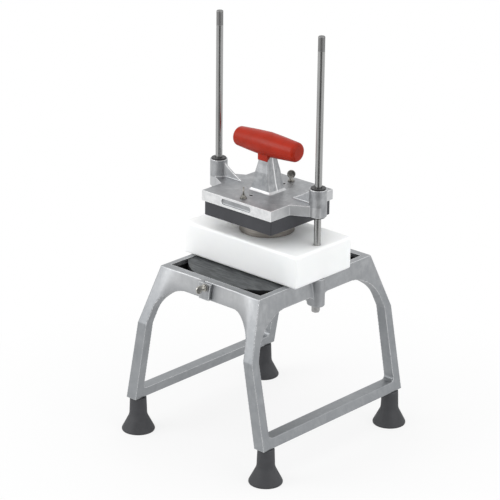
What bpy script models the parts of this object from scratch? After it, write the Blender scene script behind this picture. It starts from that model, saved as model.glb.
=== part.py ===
"""Manual vegetable slicer: a cast frame on four feet, two guide rods and a sliding head with a plunger.

Blender 4.5, metres, +Z up. The origin is on the table under the middle of the frame. +X runs from the left
guide rod to the right one, and -Y is the front. The head is modelled at rest, down on the blade cup.
"""
import bpy
import bmesh
import math
from mathutils import Matrix, Vector

# Fits
GAP = 0.0003               # clearance between pieces that touch

# Guide rods, which stand over the outer faces of the side rails
ROD_DIAMETER = 0.0095
ROD_TOP = 0.582
ROD_TIP_ROUND = 0.0020

# Frame castings, first as an upright box frame and then splayed
FRAME_TOP = 0.248
FRAME_BOTTOM = 0.0500
FRAME_HALF_X = 0.090
FRAME_HALF_Y = 0.114
SIDE_RAIL_THICKNESS = 0.0085
END_RAIL_THICKNESS = 0.012
END_RAIL_HEIGHT = 0.0262
SIDE_RAIL_HEIGHT = 0.0243
LEG_WIDTH_X = 0.015
LEG_WIDTH_Y = 0.0140
STRETCHER_HEIGHT = 0.0142
ARCH_RADIUS = 0.031        # under the end rails
WINDOW_RADIUS = 0.038      # under the side rails
FOOT_CORNER_RADIUS = 0.006
CAST_EDGE = 0.0011
LEG_SPLAY = 0.1945         # sideways run of the side panels for each unit of drop
LEG_TAPER = 0.014          # how much less the panels' inner faces run sideways
KNEE_DROP = 0.079          # how far below the top the legs turn upright
KNEE_SLOPE = 0.374         # forward run of the legs above the knee
SPLAY_START_X = 0.045      # the end rails are upright inside this distance
SPLAY_START_Y = 0.035
TRAY_LEDGE = 0.004
TRAY_SEAT_DEPTH = 0.0215

# Rod bosses on the frame
ROD_BOSS_RADIUS = 0.0097
ROD_BOSS_INWARD = 0.0035   # the boss is an oblong round the rod, longer inwards
ROD_BOSS_OUTWARD = 0.0030
ROD_BOSS_HEIGHT = 0.0405
ROD_BOSS_FILLET = 0.010    # between the boss and the side rail's underside
ROD_SEAT = 0.0040          # boss bottom to the end of the rod

# Lap joint between the frame halves
LAP_SPLIT = 0.0085
LAP_SCREW_X = -0.0028      # towards the ear's tip
LAP_SCREW_BELOW_TOP = 0.0070
EAR_THICKNESS = 0.0045
EAR_ROOT = 0.0145
EAR_TIP_TOP = 0.0070
EAR_TIP_BOTTOM = 0.0034
EAR_DROP = 0.0008
EAR_EDGE = 0.0012

# Hex screws under the rods
HEX_ACROSS_FLATS = 0.0107
HEX_HEIGHT = 0.0094
HEX_CHAMFER = 0.0013
HEX_SHANK_RADIUS = 0.0028
HEX_SHANK_LENGTH = 0.018

# Feet and foot screws
FOOT_INSET_X = 0.0090      # from the leg's outer faces, at its lower end, to the foot's axis
FOOT_INSET_Y = 0.01425
FOOT_NECK_RADIUS = 0.0115
FOOT_NECK_GROWTH = 0.0010
FOOT_TOP_ROUND = 0.0020
FOOT_RADIUS = 0.0231
FOOT_NECK_BOTTOM = 0.0230
FOOT_LIP = 0.0008
FOOT_SOLE_RADIUS = 0.0227
FOOT_SOCKET_RADIUS = 0.0068
FOOT_SOCKET_DEPTH = 0.020
FOOT_SCREW_RADIUS = 0.0025
FOOT_SCREW_HEAD_RADIUS = 0.0055
FOOT_SCREW_HEAD_HEIGHT = 0.0035
FOOT_SCREW_REACH = 0.0105

# White board
BOARD_OVERHANG = 0.0128    # past the rods' axes
BOARD_HALF_Y = 0.0566
BOARD_THICKNESS = 0.046
BOARD_EDGE = 0.0035
BOARD_HOLE_RADIUS = 0.033

# Blade cup
CUP_RADIUS = 0.0375
CUP_WALL = 0.0015
CUP_SEAT_DEPTH = 0.025
CUP_STAND = 0.0202
BLADE_COUNT = 6
BLADE_THICKNESS = 0.0010
BLADE_HEIGHT = 0.020
BLADE_RAISE = 0.003
CORE_RADIUS = 0.0075
CORE_WALL = 0.0010

# Moulded tray in the frame's opening
TRAY_WALL = 0.0025
TRAY_TOP_DROP = 0.0015
TRAY_RIM_DROP = 0.003      # rim below the deck
TRAY_DECK_MARGIN = 0.009   # how far the deck's round passes the opening's ends
TRAY_HOLE_RADIUS = 0.038

# Head casting
PLATE_HALF_X = 0.0624
PLATE_HALF_Y = 0.0630
PLATE_THICKNESS = 0.0147
PLATE_WALL = 0.0045
PLATE_RIB_THICKNESS = 0.004
ARM_KINK_Y = 0.025
ARM_END_Y = 0.0112
ARM_END_INSET = 0.003      # from the rod's axis
HEAD_BOSS_RADIUS = 0.012
HEAD_BOSS_HEIGHT = 0.038
HUB_RADIUS = 0.016
SCREW_BOSS_RADIUS = 0.0080
PIN_BOSS_RADIUS = 0.0060
GUSSET_REACH = 0.0452      # from the middle to the thin end
GUSSET_THICKNESS = 0.0030
GUSSET_OVERLAP = 0.004     # how deep the thick end goes into the rod boss
GUSSET_TOP_DROP = 0.0034
POST_SECTIONS = (          # height above the plate, half width in X, half width in Y
    (-0.003, 0.0205, 0.0180),
    (0.0000, 0.0200, 0.0176),
    (0.0030, 0.0176, 0.0152),
    (0.0120, 0.0146, 0.0146),
    (0.0270, 0.0116, 0.0133),
    (0.0380, 0.0095, 0.0109),
    (0.0470, 0.0080, 0.0094),
    (0.0645, 0.0064, 0.0070),
)
POST_CORNER = 0.0014
CROSS_BAR_RADIUS = 0.0070
CROSS_BAR_HALF_LENGTH = 0.042
GRIP_HEIGHT = 0.0645       # grip axis above the plate
NAME_SLOT_HALF_LENGTH = 0.0264
NAME_SLOT_HEIGHT = 0.0078
NAME_SLOT_BELOW_TOP = 0.0073
NAME_SLOT_DEPTH = 0.0022

# Grip
GRIP_HALF_LENGTH = 0.0548
GRIP_RADIUS = 0.0168
GRIP_END_RADIUS = 0.0136
GRIP_END_ROUND = 0.0055
GRIP_CROWN = 1.3           # 1 would be two straight cones, 2 a barrel
SKIRT_HALF_X = 0.0084
SKIRT_OUTER_Y = 0.0114
SKIRT_INNER_Y = 0.0055
SKIRT_BELOW_AXIS = 0.0212
SKIRT_EDGE = 0.0015

# Bushings
BUSH_SLEEVE_RADIUS = 0.0072
BUSH_FLANGE_RADIUS = 0.0102
BUSH_FLANGE_THICKNESS = 0.0015
BUSH_LENGTH = 0.014

# Plunger
PLUNGER_HALF_X = 0.0606
PLUNGER_HALF_Y = 0.0596
PLUNGER_THICKNESS = 0.0202
PLUNGER_CORNER = 0.0020
PLUNGER_EDGE = 0.0006
FINGER_LENGTH = 0.042
FINGER_BLADE_CLEARANCE = 0.0012
FINGER_CUP_CLEARANCE = 0.0012

# Thumb screws and what they screw into
THUMB_Y = 0.048
THUMB_SHANK_RADIUS = 0.0024
THUMB_FLANGE_RADIUS = 0.0047
THUMB_FLANGE_THICKNESS = 0.0016
THUMB_NECK_RADIUS = 0.0021
THUMB_PADDLE_RADIUS = 0.0058
THUMB_PADDLE_THICKNESS = 0.0022
THUMB_PADDLE_CENTRE = 0.0098
THUMB_NECK_HEIGHT = 0.0040
THUMB_NECK_FLARE = 0.0008
THUMB_EDGE = 0.0005
THUMB_TURN_FRONT = 132.0   # degrees that the front paddle is turned from the X axis
THUMB_TURN_BACK = 42.0
THUMB_TURN_FRAME = 90.0
INSERT_RADIUS = 0.0045
INSERT_LENGTH = 0.012
DOWEL_Y = 0.033
DOWEL_RADIUS = 0.0024
DOWEL_LENGTH = 0.018
WASHER_RADIUS = 0.0063
WASHER_THICKNESS = 0.0010

# Heights that follow from the sizes above
ROD_X = FRAME_HALF_X
ROD_RADIUS = ROD_DIAMETER / 2
ROD_BOSS_BOTTOM = FRAME_TOP - ROD_BOSS_HEIGHT
ROD_BOTTOM = ROD_BOSS_BOTTOM + ROD_SEAT
END_RAIL_BOTTOM = FRAME_TOP - END_RAIL_HEIGHT
SIDE_RAIL_BOTTOM = FRAME_TOP - SIDE_RAIL_HEIGHT
OPENING_HALF_X = FRAME_HALF_X - SIDE_RAIL_THICKNESS
OPENING_HALF_Y = FRAME_HALF_Y - END_RAIL_THICKNESS
FOOT_X = FRAME_HALF_X + LEG_SPLAY * (FRAME_TOP - FRAME_BOTTOM) - FOOT_INSET_X
FOOT_Y = FRAME_HALF_Y + KNEE_SLOPE * KNEE_DROP - FOOT_INSET_Y
LAP_SCREW_Z = FRAME_TOP - LAP_SCREW_BELOW_TOP
EAR_FACE_Y = FRAME_HALF_Y + GAP + EAR_THICKNESS
BOARD_HALF_X = ROD_X + BOARD_OVERHANG
BOARD_BOTTOM = FRAME_TOP + GAP
BOARD_TOP = BOARD_BOTTOM + BOARD_THICKNESS
CUP_BOTTOM = BOARD_TOP - CUP_SEAT_DEPTH + GAP
CUP_TOP = BOARD_TOP + CUP_STAND
PLUNGER_BOTTOM = CUP_TOP + GAP
PLUNGER_TOP = PLUNGER_BOTTOM + PLUNGER_THICKNESS
PLATE_BOTTOM = PLUNGER_TOP + GAP
PLATE_TOP = PLATE_BOTTOM + PLATE_THICKNESS
HEAD_BOSS_TOP = PLATE_BOTTOM + HEAD_BOSS_HEIGHT
GRIP_Z = PLATE_TOP + GRIP_HEIGHT
FOOT_TOP = FRAME_BOTTOM - GAP
TRAY_BOTTOM = FRAME_TOP - TRAY_SEAT_DEPTH + GAP
TRAY_TOP = FRAME_TOP - TRAY_TOP_DROP
TRAY_DECK_RADIUS = OPENING_HALF_Y + TRAY_DECK_MARGIN
ROD_BORE = ROD_RADIUS + GAP
CUT_PAST = 0.010           # how far a cutter passes the face that it opens

CUP_ROUND = 40             # sides of the blade cup and the holes round it
ROUND = 24                 # sides of a large turned piece
MEDIUM_ROUND = 20          # sides of a rod, a bushing or a hole that one goes through
SMALL_ROUND = 16           # sides of a small turned piece
SOFT_ANGLE = math.radians(32)

# Where an outline's u, v and pull direction go, for a pull along Z, X and Y
OUTLINE_PLACES = {
    "Z": Matrix.Identity(4),
    "X": Matrix(((0, 0, 1, 0), (1, 0, 0, 0), (0, 1, 0, 0), (0, 0, 0, 1))),
    "Y": Matrix(((1, 0, 0, 0), (0, 0, 1, 0), (0, 1, 0, 0), (0, 0, 0, 1))),
}


# Scene

def clear_scene():
    for old in list(bpy.data.objects):
        bpy.data.objects.remove(old, do_unlink=True)


def new_collection(name):
    made = bpy.data.collections.new(name)
    bpy.context.scene.collection.children.link(made)
    return made


def make_material(name, colour, roughness, metallic):
    made = bpy.data.materials.new(name)
    made.use_nodes = True
    shader = made.node_tree.nodes["Principled BSDF"]
    shader.inputs["Base Color"].default_value = (*colour, 1.0)
    shader.inputs["Roughness"].default_value = roughness
    shader.inputs["Metallic"].default_value = metallic
    made.diffuse_color = (*colour, 1.0)
    return made


def add_object(name, mesh_source, collection, colour=None, roughness=0.5, metallic=0.0):
    """Makes an object from a bmesh, with a material of its own, and frees the bmesh."""
    mesh = bpy.data.meshes.new(name)
    bmesh.ops.recalc_face_normals(mesh_source, faces=mesh_source.faces)
    mesh_source.to_mesh(mesh)
    mesh_source.free()
    made = bpy.data.objects.new(name, mesh)
    collection.objects.link(made)
    if colour is not None:
        mesh.materials.append(make_material(name, colour, roughness, metallic))
    return made


def smooth(made):
    made.data.shade_smooth()
    made.data.set_sharp_from_angle(angle=SOFT_ANGLE)


def add_cutter(name, mesh_source):
    """A helper solid for Boolean modifiers, hidden from renders."""
    made = add_object(name, mesh_source, cutters)
    made.hide_render = True
    made.display_type = "WIRE"
    return made


def boolean(target, tool, operation):
    step = target.modifiers.new(operation.lower() + "_" + tool.name, "BOOLEAN")
    step.operation = operation
    step.object = tool
    step.solver = "EXACT"


def bevel(target, width, segments=2):
    step = target.modifiers.new("edge_round", "BEVEL")
    step.width = width
    step.segments = segments
    step.limit_method = "ANGLE"
    step.angle_limit = math.radians(50)
    step.harden_normals = False


def evaluated_bmesh(source):
    """The source object's mesh after its modifiers, in world space, as a bmesh."""
    bpy.context.view_layer.update()
    depsgraph = bpy.context.evaluated_depsgraph_get()
    mesh = bpy.data.meshes.new_from_object(source.evaluated_get(depsgraph))
    made = bmesh.new()
    made.from_mesh(mesh)
    made.transform(source.matrix_world)
    bpy.data.meshes.remove(mesh)
    return made


# Shapes

def box(low, high):
    made = bmesh.new()
    bmesh.ops.create_cube(made, size=1.0)
    size = Vector(high) - Vector(low)
    middle = (Vector(high) + Vector(low)) / 2
    made.transform(Matrix.Translation(middle) @ Matrix.Diagonal((*size, 1.0)))
    return made


def prism(outline, low, high, axis="Z"):
    """A flat outline, a list of (u, v), pulled from low to high along an axis.

    For axis Z the outline is (x, y), for axis X it is (y, z), and for axis Y it is (x, z).
    """
    flat = bpy.data.curves.new("outline", "CURVE")
    flat.dimensions = "2D"
    flat.fill_mode = "BOTH"
    flat.extrude = (high - low) / 2
    line = flat.splines.new("POLY")
    line.points.add(len(outline) - 1)
    for point, (u, v) in zip(line.points, outline):
        point.co = (u, v, 0.0, 1.0)
    line.use_cyclic_u = True
    holder = bpy.data.objects.new("outline", flat)
    cutters.objects.link(holder)
    made = evaluated_bmesh(holder)
    bpy.data.objects.remove(holder, do_unlink=True)
    bpy.data.curves.remove(flat)
    bmesh.ops.remove_doubles(made, verts=made.verts, dist=0.000005)
    made.transform(OUTLINE_PLACES[axis] @ Matrix.Translation((0, 0, (high + low) / 2)))
    bmesh.ops.recalc_face_normals(made, faces=made.faces)
    return made


def arc(centre_u, centre_v, radius, start, end, steps):
    """Points on an arc, angles in degrees."""
    points = []
    for step in range(steps + 1):
        angle = math.radians(start + (end - start) * step / steps)
        points.append((centre_u + radius * math.cos(angle), centre_v + radius * math.sin(angle)))
    return points


def rounded_rectangle(half_u, half_v, radius, steps=4):
    points = []
    for sign_u, sign_v, start in ((1, 1, 0), (-1, 1, 90), (-1, -1, 180), (1, -1, 270)):
        points += arc(sign_u * (half_u - radius), sign_v * (half_v - radius), radius, start, start + 90,
                      steps)
    return points


def cylinder(radius, low, high, sides=ROUND, x=0.0, y=0.0):
    """An upright cylinder at x, y."""
    made = bmesh.new()
    bmesh.ops.create_cone(made, cap_ends=True, segments=sides, radius1=radius, radius2=radius,
                          depth=high - low)
    made.transform(Matrix.Translation((x, y, (low + high) / 2)))
    return made


def turned(name, profile, sides, collection, colour, roughness, metallic):
    """A turned piece: the profile, (radius, height) from top to bottom, is screwed round Z."""
    mesh = bpy.data.meshes.new(name)
    rows = [(radius, 0.0, height) for radius, height in profile]
    closed = profile[0][0] > 0.0 and profile[-1][0] > 0.0
    edges = [(index, index + 1) for index in range(len(rows) - 1)]
    if closed:
        edges.append((len(rows) - 1, 0))
    mesh.from_pydata(rows, edges, [])
    made = bpy.data.objects.new(name, mesh)
    collection.objects.link(made)
    mesh.materials.append(make_material(name, colour, roughness, metallic))
    screw = made.modifiers.new("turn", "SCREW")
    screw.steps = sides
    screw.render_steps = sides
    screw.use_merge_vertices = True
    screw.merge_threshold = 0.00001
    screw.use_smooth_shade = True
    return made


# Frame halves

def arch_outline():
    """The tunnel below the end rails, as (x, z), with a rounded top corner at the leg."""
    inner = FRAME_HALF_X - LEG_WIDTH_X
    outline = [(-CUT_PAST, FRAME_BOTTOM - CUT_PAST), (inner, FRAME_BOTTOM - CUT_PAST)]
    outline += arc(inner - ARCH_RADIUS, END_RAIL_BOTTOM - ARCH_RADIUS, ARCH_RADIUS, 0, 90, 8)
    outline.append((-CUT_PAST, END_RAIL_BOTTOM))
    return outline


def window_outline():
    """The side window, as (y, z), with large top corners, small bottom ones and the rod boss's fillets."""
    side = FRAME_HALF_Y - LEG_WIDTH_Y
    floor = FRAME_BOTTOM + STRETCHER_HEIGHT
    corner_z = SIDE_RAIL_BOTTOM - WINDOW_RADIUS
    fillet_y = ROD_BOSS_RADIUS + ROD_BOSS_FILLET - GAP
    fillet_z = SIDE_RAIL_BOTTOM - ROD_BOSS_FILLET
    outline = arc(side - WINDOW_RADIUS, corner_z, WINDOW_RADIUS, 0, 90, 7)
    outline += arc(fillet_y, fillet_z, ROD_BOSS_FILLET, 90, 180, 4)
    outline += arc(-fillet_y, fillet_z, ROD_BOSS_FILLET, 0, 90, 4)
    outline += arc(-side + WINDOW_RADIUS, corner_z, WINDOW_RADIUS, 90, 180, 7)
    outline += arc(-side + FOOT_CORNER_RADIUS, floor + FOOT_CORNER_RADIUS, FOOT_CORNER_RADIUS, 180, 270, 3)
    outline += arc(side - FOOT_CORNER_RADIUS, floor + FOOT_CORNER_RADIUS, FOOT_CORNER_RADIUS, 270, 360, 3)
    return outline


def ease(value, start, end):
    """A smooth step from 0 at start to 1 at end."""
    share = min(max((value - start) / (end - start), 0.0), 1.0)
    return share * share * (3.0 - 2.0 * share)


def splay(shape):
    """Leans the side panels out and sends the legs forward and back down to the knee."""
    leg_inner_x = FRAME_HALF_X - LEG_WIDTH_X
    leg_inner_y = FRAME_HALF_Y - LEG_WIDTH_Y
    for vert in shape.verts:
        drop = max(FRAME_TOP - vert.co.z, 0.0)
        side_share = ease(abs(vert.co.x), SPLAY_START_X, leg_inner_x)
        leg_share = side_share * ease(abs(vert.co.y), SPLAY_START_Y, leg_inner_y)
        inward_share = min(max((FRAME_HALF_X - abs(vert.co.x)) / LEG_WIDTH_X, 0.0), 1.0)
        slope = LEG_SPLAY - LEG_TAPER * inward_share
        vert.co.y += math.copysign(KNEE_SLOPE * min(drop, KNEE_DROP) * leg_share, vert.co.y)
        vert.co.x += math.copysign(slope * drop * side_share, vert.co.x)


def upright_half():
    """The right frame half as an upright box frame, before it is splayed."""
    reach = FRAME_HALF_Y + CUT_PAST
    window_start = FRAME_HALF_X - 2 * LEG_WIDTH_X
    blank = box((-LAP_SPLIT, -FRAME_HALF_Y, FRAME_BOTTOM), (FRAME_HALF_X, FRAME_HALF_Y, FRAME_TOP))
    blank = add_cutter("frame_blank", blank)
    tunnel = add_cutter("frame_tunnel", prism(arch_outline(), -reach, reach, "Y"))
    window = add_cutter("frame_window", prism(window_outline(), window_start, FRAME_HALF_X + CUT_PAST, "X"))
    back_stop = box((-LAP_SPLIT - CUT_PAST, 0.0, END_RAIL_BOTTOM - CUT_PAST),
                    (LAP_SPLIT + GAP, reach, FRAME_TOP + CUT_PAST))
    back_stop = add_cutter("frame_lap_end", back_stop)
    boolean(blank, tunnel, "DIFFERENCE")
    boolean(blank, window, "DIFFERENCE")
    boolean(blank, back_stop, "DIFFERENCE")
    bevel(blank, CAST_EDGE, 2)
    return evaluated_bmesh(blank)


def cut_bands(shape):
    """Cuts the shape along the planes where the splay bends it."""
    leg_inner_x = FRAME_HALF_X - LEG_WIDTH_X
    bands = 5
    planes = [(Vector((SPLAY_START_X + (leg_inner_x - SPLAY_START_X) * step / bands, 0, 0)),
               Vector((1, 0, 0)))
              for step in range(bands + 1)]
    planes.append((Vector((0, 0, FRAME_TOP - KNEE_DROP)), Vector((0, 0, 1))))
    for point, normal in planes:
        everything = shape.verts[:] + shape.edges[:] + shape.faces[:]
        bmesh.ops.bisect_plane(shape, geom=everything, dist=0.00005, plane_co=point, plane_no=normal)
    bmesh.ops.triangulate(shape, faces=shape.faces)


def rod_boss():
    """The boss that holds a rod, long in X, from its bottom to the frame's top."""
    outline = arc(ROD_X + ROD_BOSS_OUTWARD, 0.0, ROD_BOSS_RADIUS, -90, 90, 12)
    outline += arc(ROD_X - ROD_BOSS_INWARD, 0.0, ROD_BOSS_RADIUS, 90, 270, 12)
    return prism(outline, ROD_BOSS_BOTTOM, FRAME_TOP, "Z")


def lap_ear():
    """The ear in front of the lap, as seen from the back of the right half."""
    top = FRAME_TOP - EAR_DROP
    low = END_RAIL_BOTTOM + EAR_DROP
    outline = [(EAR_ROOT, low), (EAR_ROOT, top), (-EAR_TIP_TOP, top), (-EAR_TIP_BOTTOM, low)]
    ear = prism(outline, FRAME_HALF_Y + GAP, EAR_FACE_Y, "Y")
    middle_y = FRAME_HALF_Y + EAR_THICKNESS / 2
    edges = [edge for edge in ear.edges if max(vert.co.y for vert in edge.verts) > middle_y]
    bmesh.ops.bevel(ear, geom=edges, offset=EAR_EDGE, segments=2, affect="EDGES", profile=0.5)
    return ear


def ear_root():
    """The thickening that carries the ear on its own half's rail."""
    inset = EAR_EDGE + GAP
    return box((LAP_SPLIT + 2 * GAP, FRAME_HALF_Y - END_RAIL_THICKNESS / 3,
                END_RAIL_BOTTOM + EAR_DROP + inset),
               (EAR_ROOT - inset, EAR_FACE_Y - inset, FRAME_TOP - EAR_DROP - inset))


def frame_half(name, turn):
    """One casting. The other one is the same casting turned half round."""
    shape = upright_half()
    cut_bands(shape)
    splay(shape)
    half = add_object(name, shape, product, colour=(0.60, 0.61, 0.62), roughness=0.42, metallic=0.9)
    tools = []
    boss = add_cutter(name + "_boss", rod_boss())
    tools.append((boss, "UNION"))
    tools.append((add_cutter(name + "_ear", lap_ear()), "UNION"))
    tools.append((add_cutter(name + "_ear_root", ear_root()), "UNION"))
    pocket = box((-OPENING_HALF_X, -OPENING_HALF_Y, FRAME_TOP - TRAY_SEAT_DEPTH),
                 (OPENING_HALF_X, OPENING_HALF_Y, FRAME_TOP + CUT_PAST))
    tools.append((add_cutter(name + "_tray_pocket", pocket), "DIFFERENCE"))
    hole_x = OPENING_HALF_X - TRAY_LEDGE
    hole_y = OPENING_HALF_Y - TRAY_LEDGE
    hole_low = END_RAIL_BOTTOM - ARCH_RADIUS - CUT_PAST / 2
    hole = box((-hole_x, -hole_y, hole_low), (hole_x, hole_y, FRAME_TOP - TRAY_SEAT_DEPTH / 2))
    tools.append((add_cutter(name + "_tray_hole", hole), "DIFFERENCE"))
    bore = cylinder(ROD_BORE, ROD_BOTTOM - GAP, FRAME_TOP + CUT_PAST, MEDIUM_ROUND, ROD_X)
    tools.append((add_cutter(name + "_rod_bore", bore), "DIFFERENCE"))
    screw_hole = cylinder(HEX_SHANK_RADIUS + GAP, ROD_BOSS_BOTTOM - CUT_PAST, ROD_BOTTOM, SMALL_ROUND,
                          ROD_X)
    tools.append((add_cutter(name + "_hex_hole", screw_hole), "DIFFERENCE"))
    for sign in (-1, 1):
        foot_hole = cylinder(FOOT_SCREW_RADIUS + GAP, FRAME_BOTTOM - CUT_PAST,
                             FRAME_BOTTOM + FOOT_SCREW_REACH + GAP,
                             SMALL_ROUND, FOOT_X, sign * FOOT_Y)
        tools.append((add_cutter(name + "_foot_hole_%d" % (sign > 0), foot_hole), "DIFFERENCE"))
        hole_reach = END_RAIL_THICKNESS + CUT_PAST
        lap_hole = cylinder(THUMB_SHANK_RADIUS + GAP, -hole_reach, hole_reach, SMALL_ROUND)
        lap_hole.transform(Matrix.Translation((-sign * LAP_SCREW_X, sign * FRAME_HALF_Y, LAP_SCREW_Z))
                           @ Matrix.Rotation(math.radians(90), 4, "X"))
        tools.append((add_cutter(name + "_lap_hole_%d" % (sign > 0), lap_hole), "DIFFERENCE"))
    for tool, operation in tools:
        tool.rotation_euler.z = turn
        boolean(half, tool, operation)
    half.rotation_euler.z = turn
    smooth(half)
    return half


# Rods, screws and feet

def guide_rod(name, sign):
    tip = arc(ROD_RADIUS - ROD_TIP_ROUND, ROD_TOP - ROD_TIP_ROUND, ROD_TIP_ROUND, 90, 0, 3)
    socket = HEX_SHANK_RADIUS + GAP
    socket_top = ROD_BOSS_BOTTOM + HEX_SHANK_LENGTH + GAP
    profile = [(0.0, ROD_TOP)] + tip + [(ROD_RADIUS, ROD_BOTTOM), (socket, ROD_BOTTOM),
                                        (socket, socket_top), (0.0, socket_top)]
    rod = turned(name, profile, MEDIUM_ROUND, product, (0.55, 0.55, 0.56), 0.22, 1.0)
    rod.location = (sign * ROD_X, 0.0, 0.0)
    return rod


def rod_screw(name, sign):
    """The hex screw that holds a rod, under the frame's rod boss."""
    x = sign * ROD_X
    head_top = ROD_BOSS_BOTTOM - GAP
    corner = HEX_ACROSS_FLATS / 2 / math.cos(math.radians(30))
    head = cylinder(corner, head_top - HEX_HEIGHT, head_top, 6, x)
    half_way = head_top - HEX_HEIGHT / 2
    lower = [edge for edge in head.edges if max(vert.co.z for vert in edge.verts) < half_way]
    bmesh.ops.bevel(head, geom=lower, offset=HEX_CHAMFER, segments=1, affect="EDGES")
    made = add_object(name, head, product, colour=(0.50, 0.50, 0.50), roughness=0.35, metallic=1.0)
    shank = cylinder(HEX_SHANK_RADIUS, head_top - HEX_HEIGHT / 2, ROD_BOSS_BOTTOM + HEX_SHANK_LENGTH,
                     SMALL_ROUND, x)
    boolean(made, add_cutter(name + "_shank", shank), "UNION")
    smooth(made)


def foot(name, sign_x, sign_y):
    hole = FOOT_SCREW_RADIUS + GAP
    socket = FOOT_SOCKET_RADIUS
    profile = [
        (hole, FOOT_TOP),
        *arc(FOOT_NECK_RADIUS - FOOT_TOP_ROUND, FOOT_TOP - FOOT_TOP_ROUND, FOOT_TOP_ROUND, 90, 0, 3),
        (FOOT_NECK_RADIUS + FOOT_NECK_GROWTH, FOOT_NECK_BOTTOM),
        (FOOT_RADIUS, FOOT_LIP),
        (FOOT_SOLE_RADIUS, 0.0),
        (socket, 0.0),
        (socket, FOOT_SOCKET_DEPTH),
        (hole, FOOT_SOCKET_DEPTH),
    ]
    made = turned(name, profile, ROUND, product, (0.045, 0.045, 0.050), 0.75, 0.0)
    made.location = (sign_x * FOOT_X, sign_y * FOOT_Y, 0.0)
    return made


def foot_screw(name, sign_x, sign_y):
    head_top = FOOT_SOCKET_DEPTH - GAP
    tip = FRAME_BOTTOM + FOOT_SCREW_REACH
    profile = [(0.0, tip), (FOOT_SCREW_RADIUS, tip), (FOOT_SCREW_RADIUS, head_top),
               (FOOT_SCREW_HEAD_RADIUS, head_top),
               (FOOT_SCREW_HEAD_RADIUS, head_top - FOOT_SCREW_HEAD_HEIGHT),
               (0.0, head_top - FOOT_SCREW_HEAD_HEIGHT)]
    made = turned(name, profile, SMALL_ROUND, product, (0.55, 0.55, 0.55), 0.35, 1.0)
    made.location = (sign_x * FOOT_X, sign_y * FOOT_Y, 0.0)


# Board, tray and blade cup

def board():
    block = box((-BOARD_HALF_X, -BOARD_HALF_Y, BOARD_BOTTOM), (BOARD_HALF_X, BOARD_HALF_Y, BOARD_TOP))
    made = add_object("cutting_board", block, product, colour=(0.86, 0.87, 0.86), roughness=0.45)
    bevel(made, BOARD_EDGE, 3)
    for sign in (-1, 1):
        bore = cylinder(ROD_BORE, BOARD_BOTTOM - CUT_PAST, BOARD_TOP + CUT_PAST, MEDIUM_ROUND, sign * ROD_X)
        boolean(made, add_cutter("board_rod_bore_%d" % (sign > 0), bore), "DIFFERENCE")
    seat = cylinder(CUP_RADIUS + GAP, BOARD_TOP - CUP_SEAT_DEPTH, BOARD_TOP + CUT_PAST, CUP_ROUND)
    boolean(made, add_cutter("board_cup_seat", seat), "DIFFERENCE")
    drop = cylinder(BOARD_HOLE_RADIUS, BOARD_BOTTOM - CUT_PAST, BOARD_TOP, CUP_ROUND)
    boolean(made, add_cutter("board_drop_hole", drop), "DIFFERENCE")
    smooth(made)
    return made


def deck_outline(shrink):
    """The tray's deck: the frame's opening with its corners cut by a large circle, as (x, y)."""
    half_x = OPENING_HALF_X - GAP - shrink
    half_y = OPENING_HALF_Y - GAP - shrink
    radius = TRAY_DECK_RADIUS - shrink
    first = math.degrees(math.acos(half_x / radius))
    last = math.degrees(math.asin(half_y / radius))
    outline = []
    for turn, forward in ((0, True), (180, False), (180, True), (360, False)):
        ends = (turn + first, turn + last) if forward else (turn - last, turn - first)
        outline += arc(0.0, 0.0, radius, ends[0], ends[1], 5)
    return outline


def catch_tray():
    """One moulding: a raised deck with a drop hole, open below, and a low well at each corner."""
    half_x = OPENING_HALF_X - GAP
    half_y = OPENING_HALF_Y - GAP
    floor = TRAY_BOTTOM + TRAY_WALL
    outer = rounded_rectangle(half_x, half_y, TRAY_WALL, 2)
    inner = rounded_rectangle(half_x - TRAY_WALL, half_y - TRAY_WALL, 2 * TRAY_WALL, 3)
    base = prism(outer, TRAY_BOTTOM, floor)
    deck = prism(deck_outline(0.0), TRAY_BOTTOM + TRAY_WALL / 2, TRAY_TOP)
    rim = prism(outer, TRAY_BOTTOM + TRAY_WALL / 3, TRAY_TOP - TRAY_RIM_DROP)
    rim_void = add_cutter("tray_rim_void", prism(inner, floor, TRAY_TOP + CUT_PAST))
    made = add_object("catch_tray", rim, product, colour=(0.050, 0.052, 0.055), roughness=0.55)
    boolean(made, rim_void, "DIFFERENCE")
    boolean(made, add_cutter("tray_base", base), "UNION")
    boolean(made, add_cutter("tray_deck", deck), "UNION")
    below = prism(deck_outline(TRAY_WALL), TRAY_BOTTOM - CUT_PAST, TRAY_TOP - TRAY_WALL)
    boolean(made, add_cutter("tray_underside", below), "DIFFERENCE")
    hole = cylinder(TRAY_HOLE_RADIUS, TRAY_BOTTOM - CUT_PAST, TRAY_TOP + CUT_PAST, CUP_ROUND)
    boolean(made, add_cutter("tray_drop_hole", hole), "DIFFERENCE")
    smooth(made)
    return made


def blade_cup():
    profile = [
        (CUP_RADIUS - CUP_WALL, CUP_TOP),
        (CUP_RADIUS - CUP_WALL / 4, CUP_TOP),
        (CUP_RADIUS, CUP_TOP - CUP_WALL / 4),
        (CUP_RADIUS, CUP_BOTTOM),
        (CUP_RADIUS - CUP_WALL, CUP_BOTTOM),
    ]
    return turned("blade_cup", profile, CUP_ROUND, product, (0.52, 0.50, 0.47), 0.28, 1.0)


def blade_core():
    low = CUP_BOTTOM + BLADE_RAISE
    profile = [
        (CORE_RADIUS - CORE_WALL, low + BLADE_HEIGHT),
        (CORE_RADIUS, low + BLADE_HEIGHT),
        (CORE_RADIUS, low),
        (CORE_RADIUS - CORE_WALL, low),
    ]
    return turned("blade_core", profile, SMALL_ROUND, product, (0.60, 0.60, 0.61), 0.25, 1.0)


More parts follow.
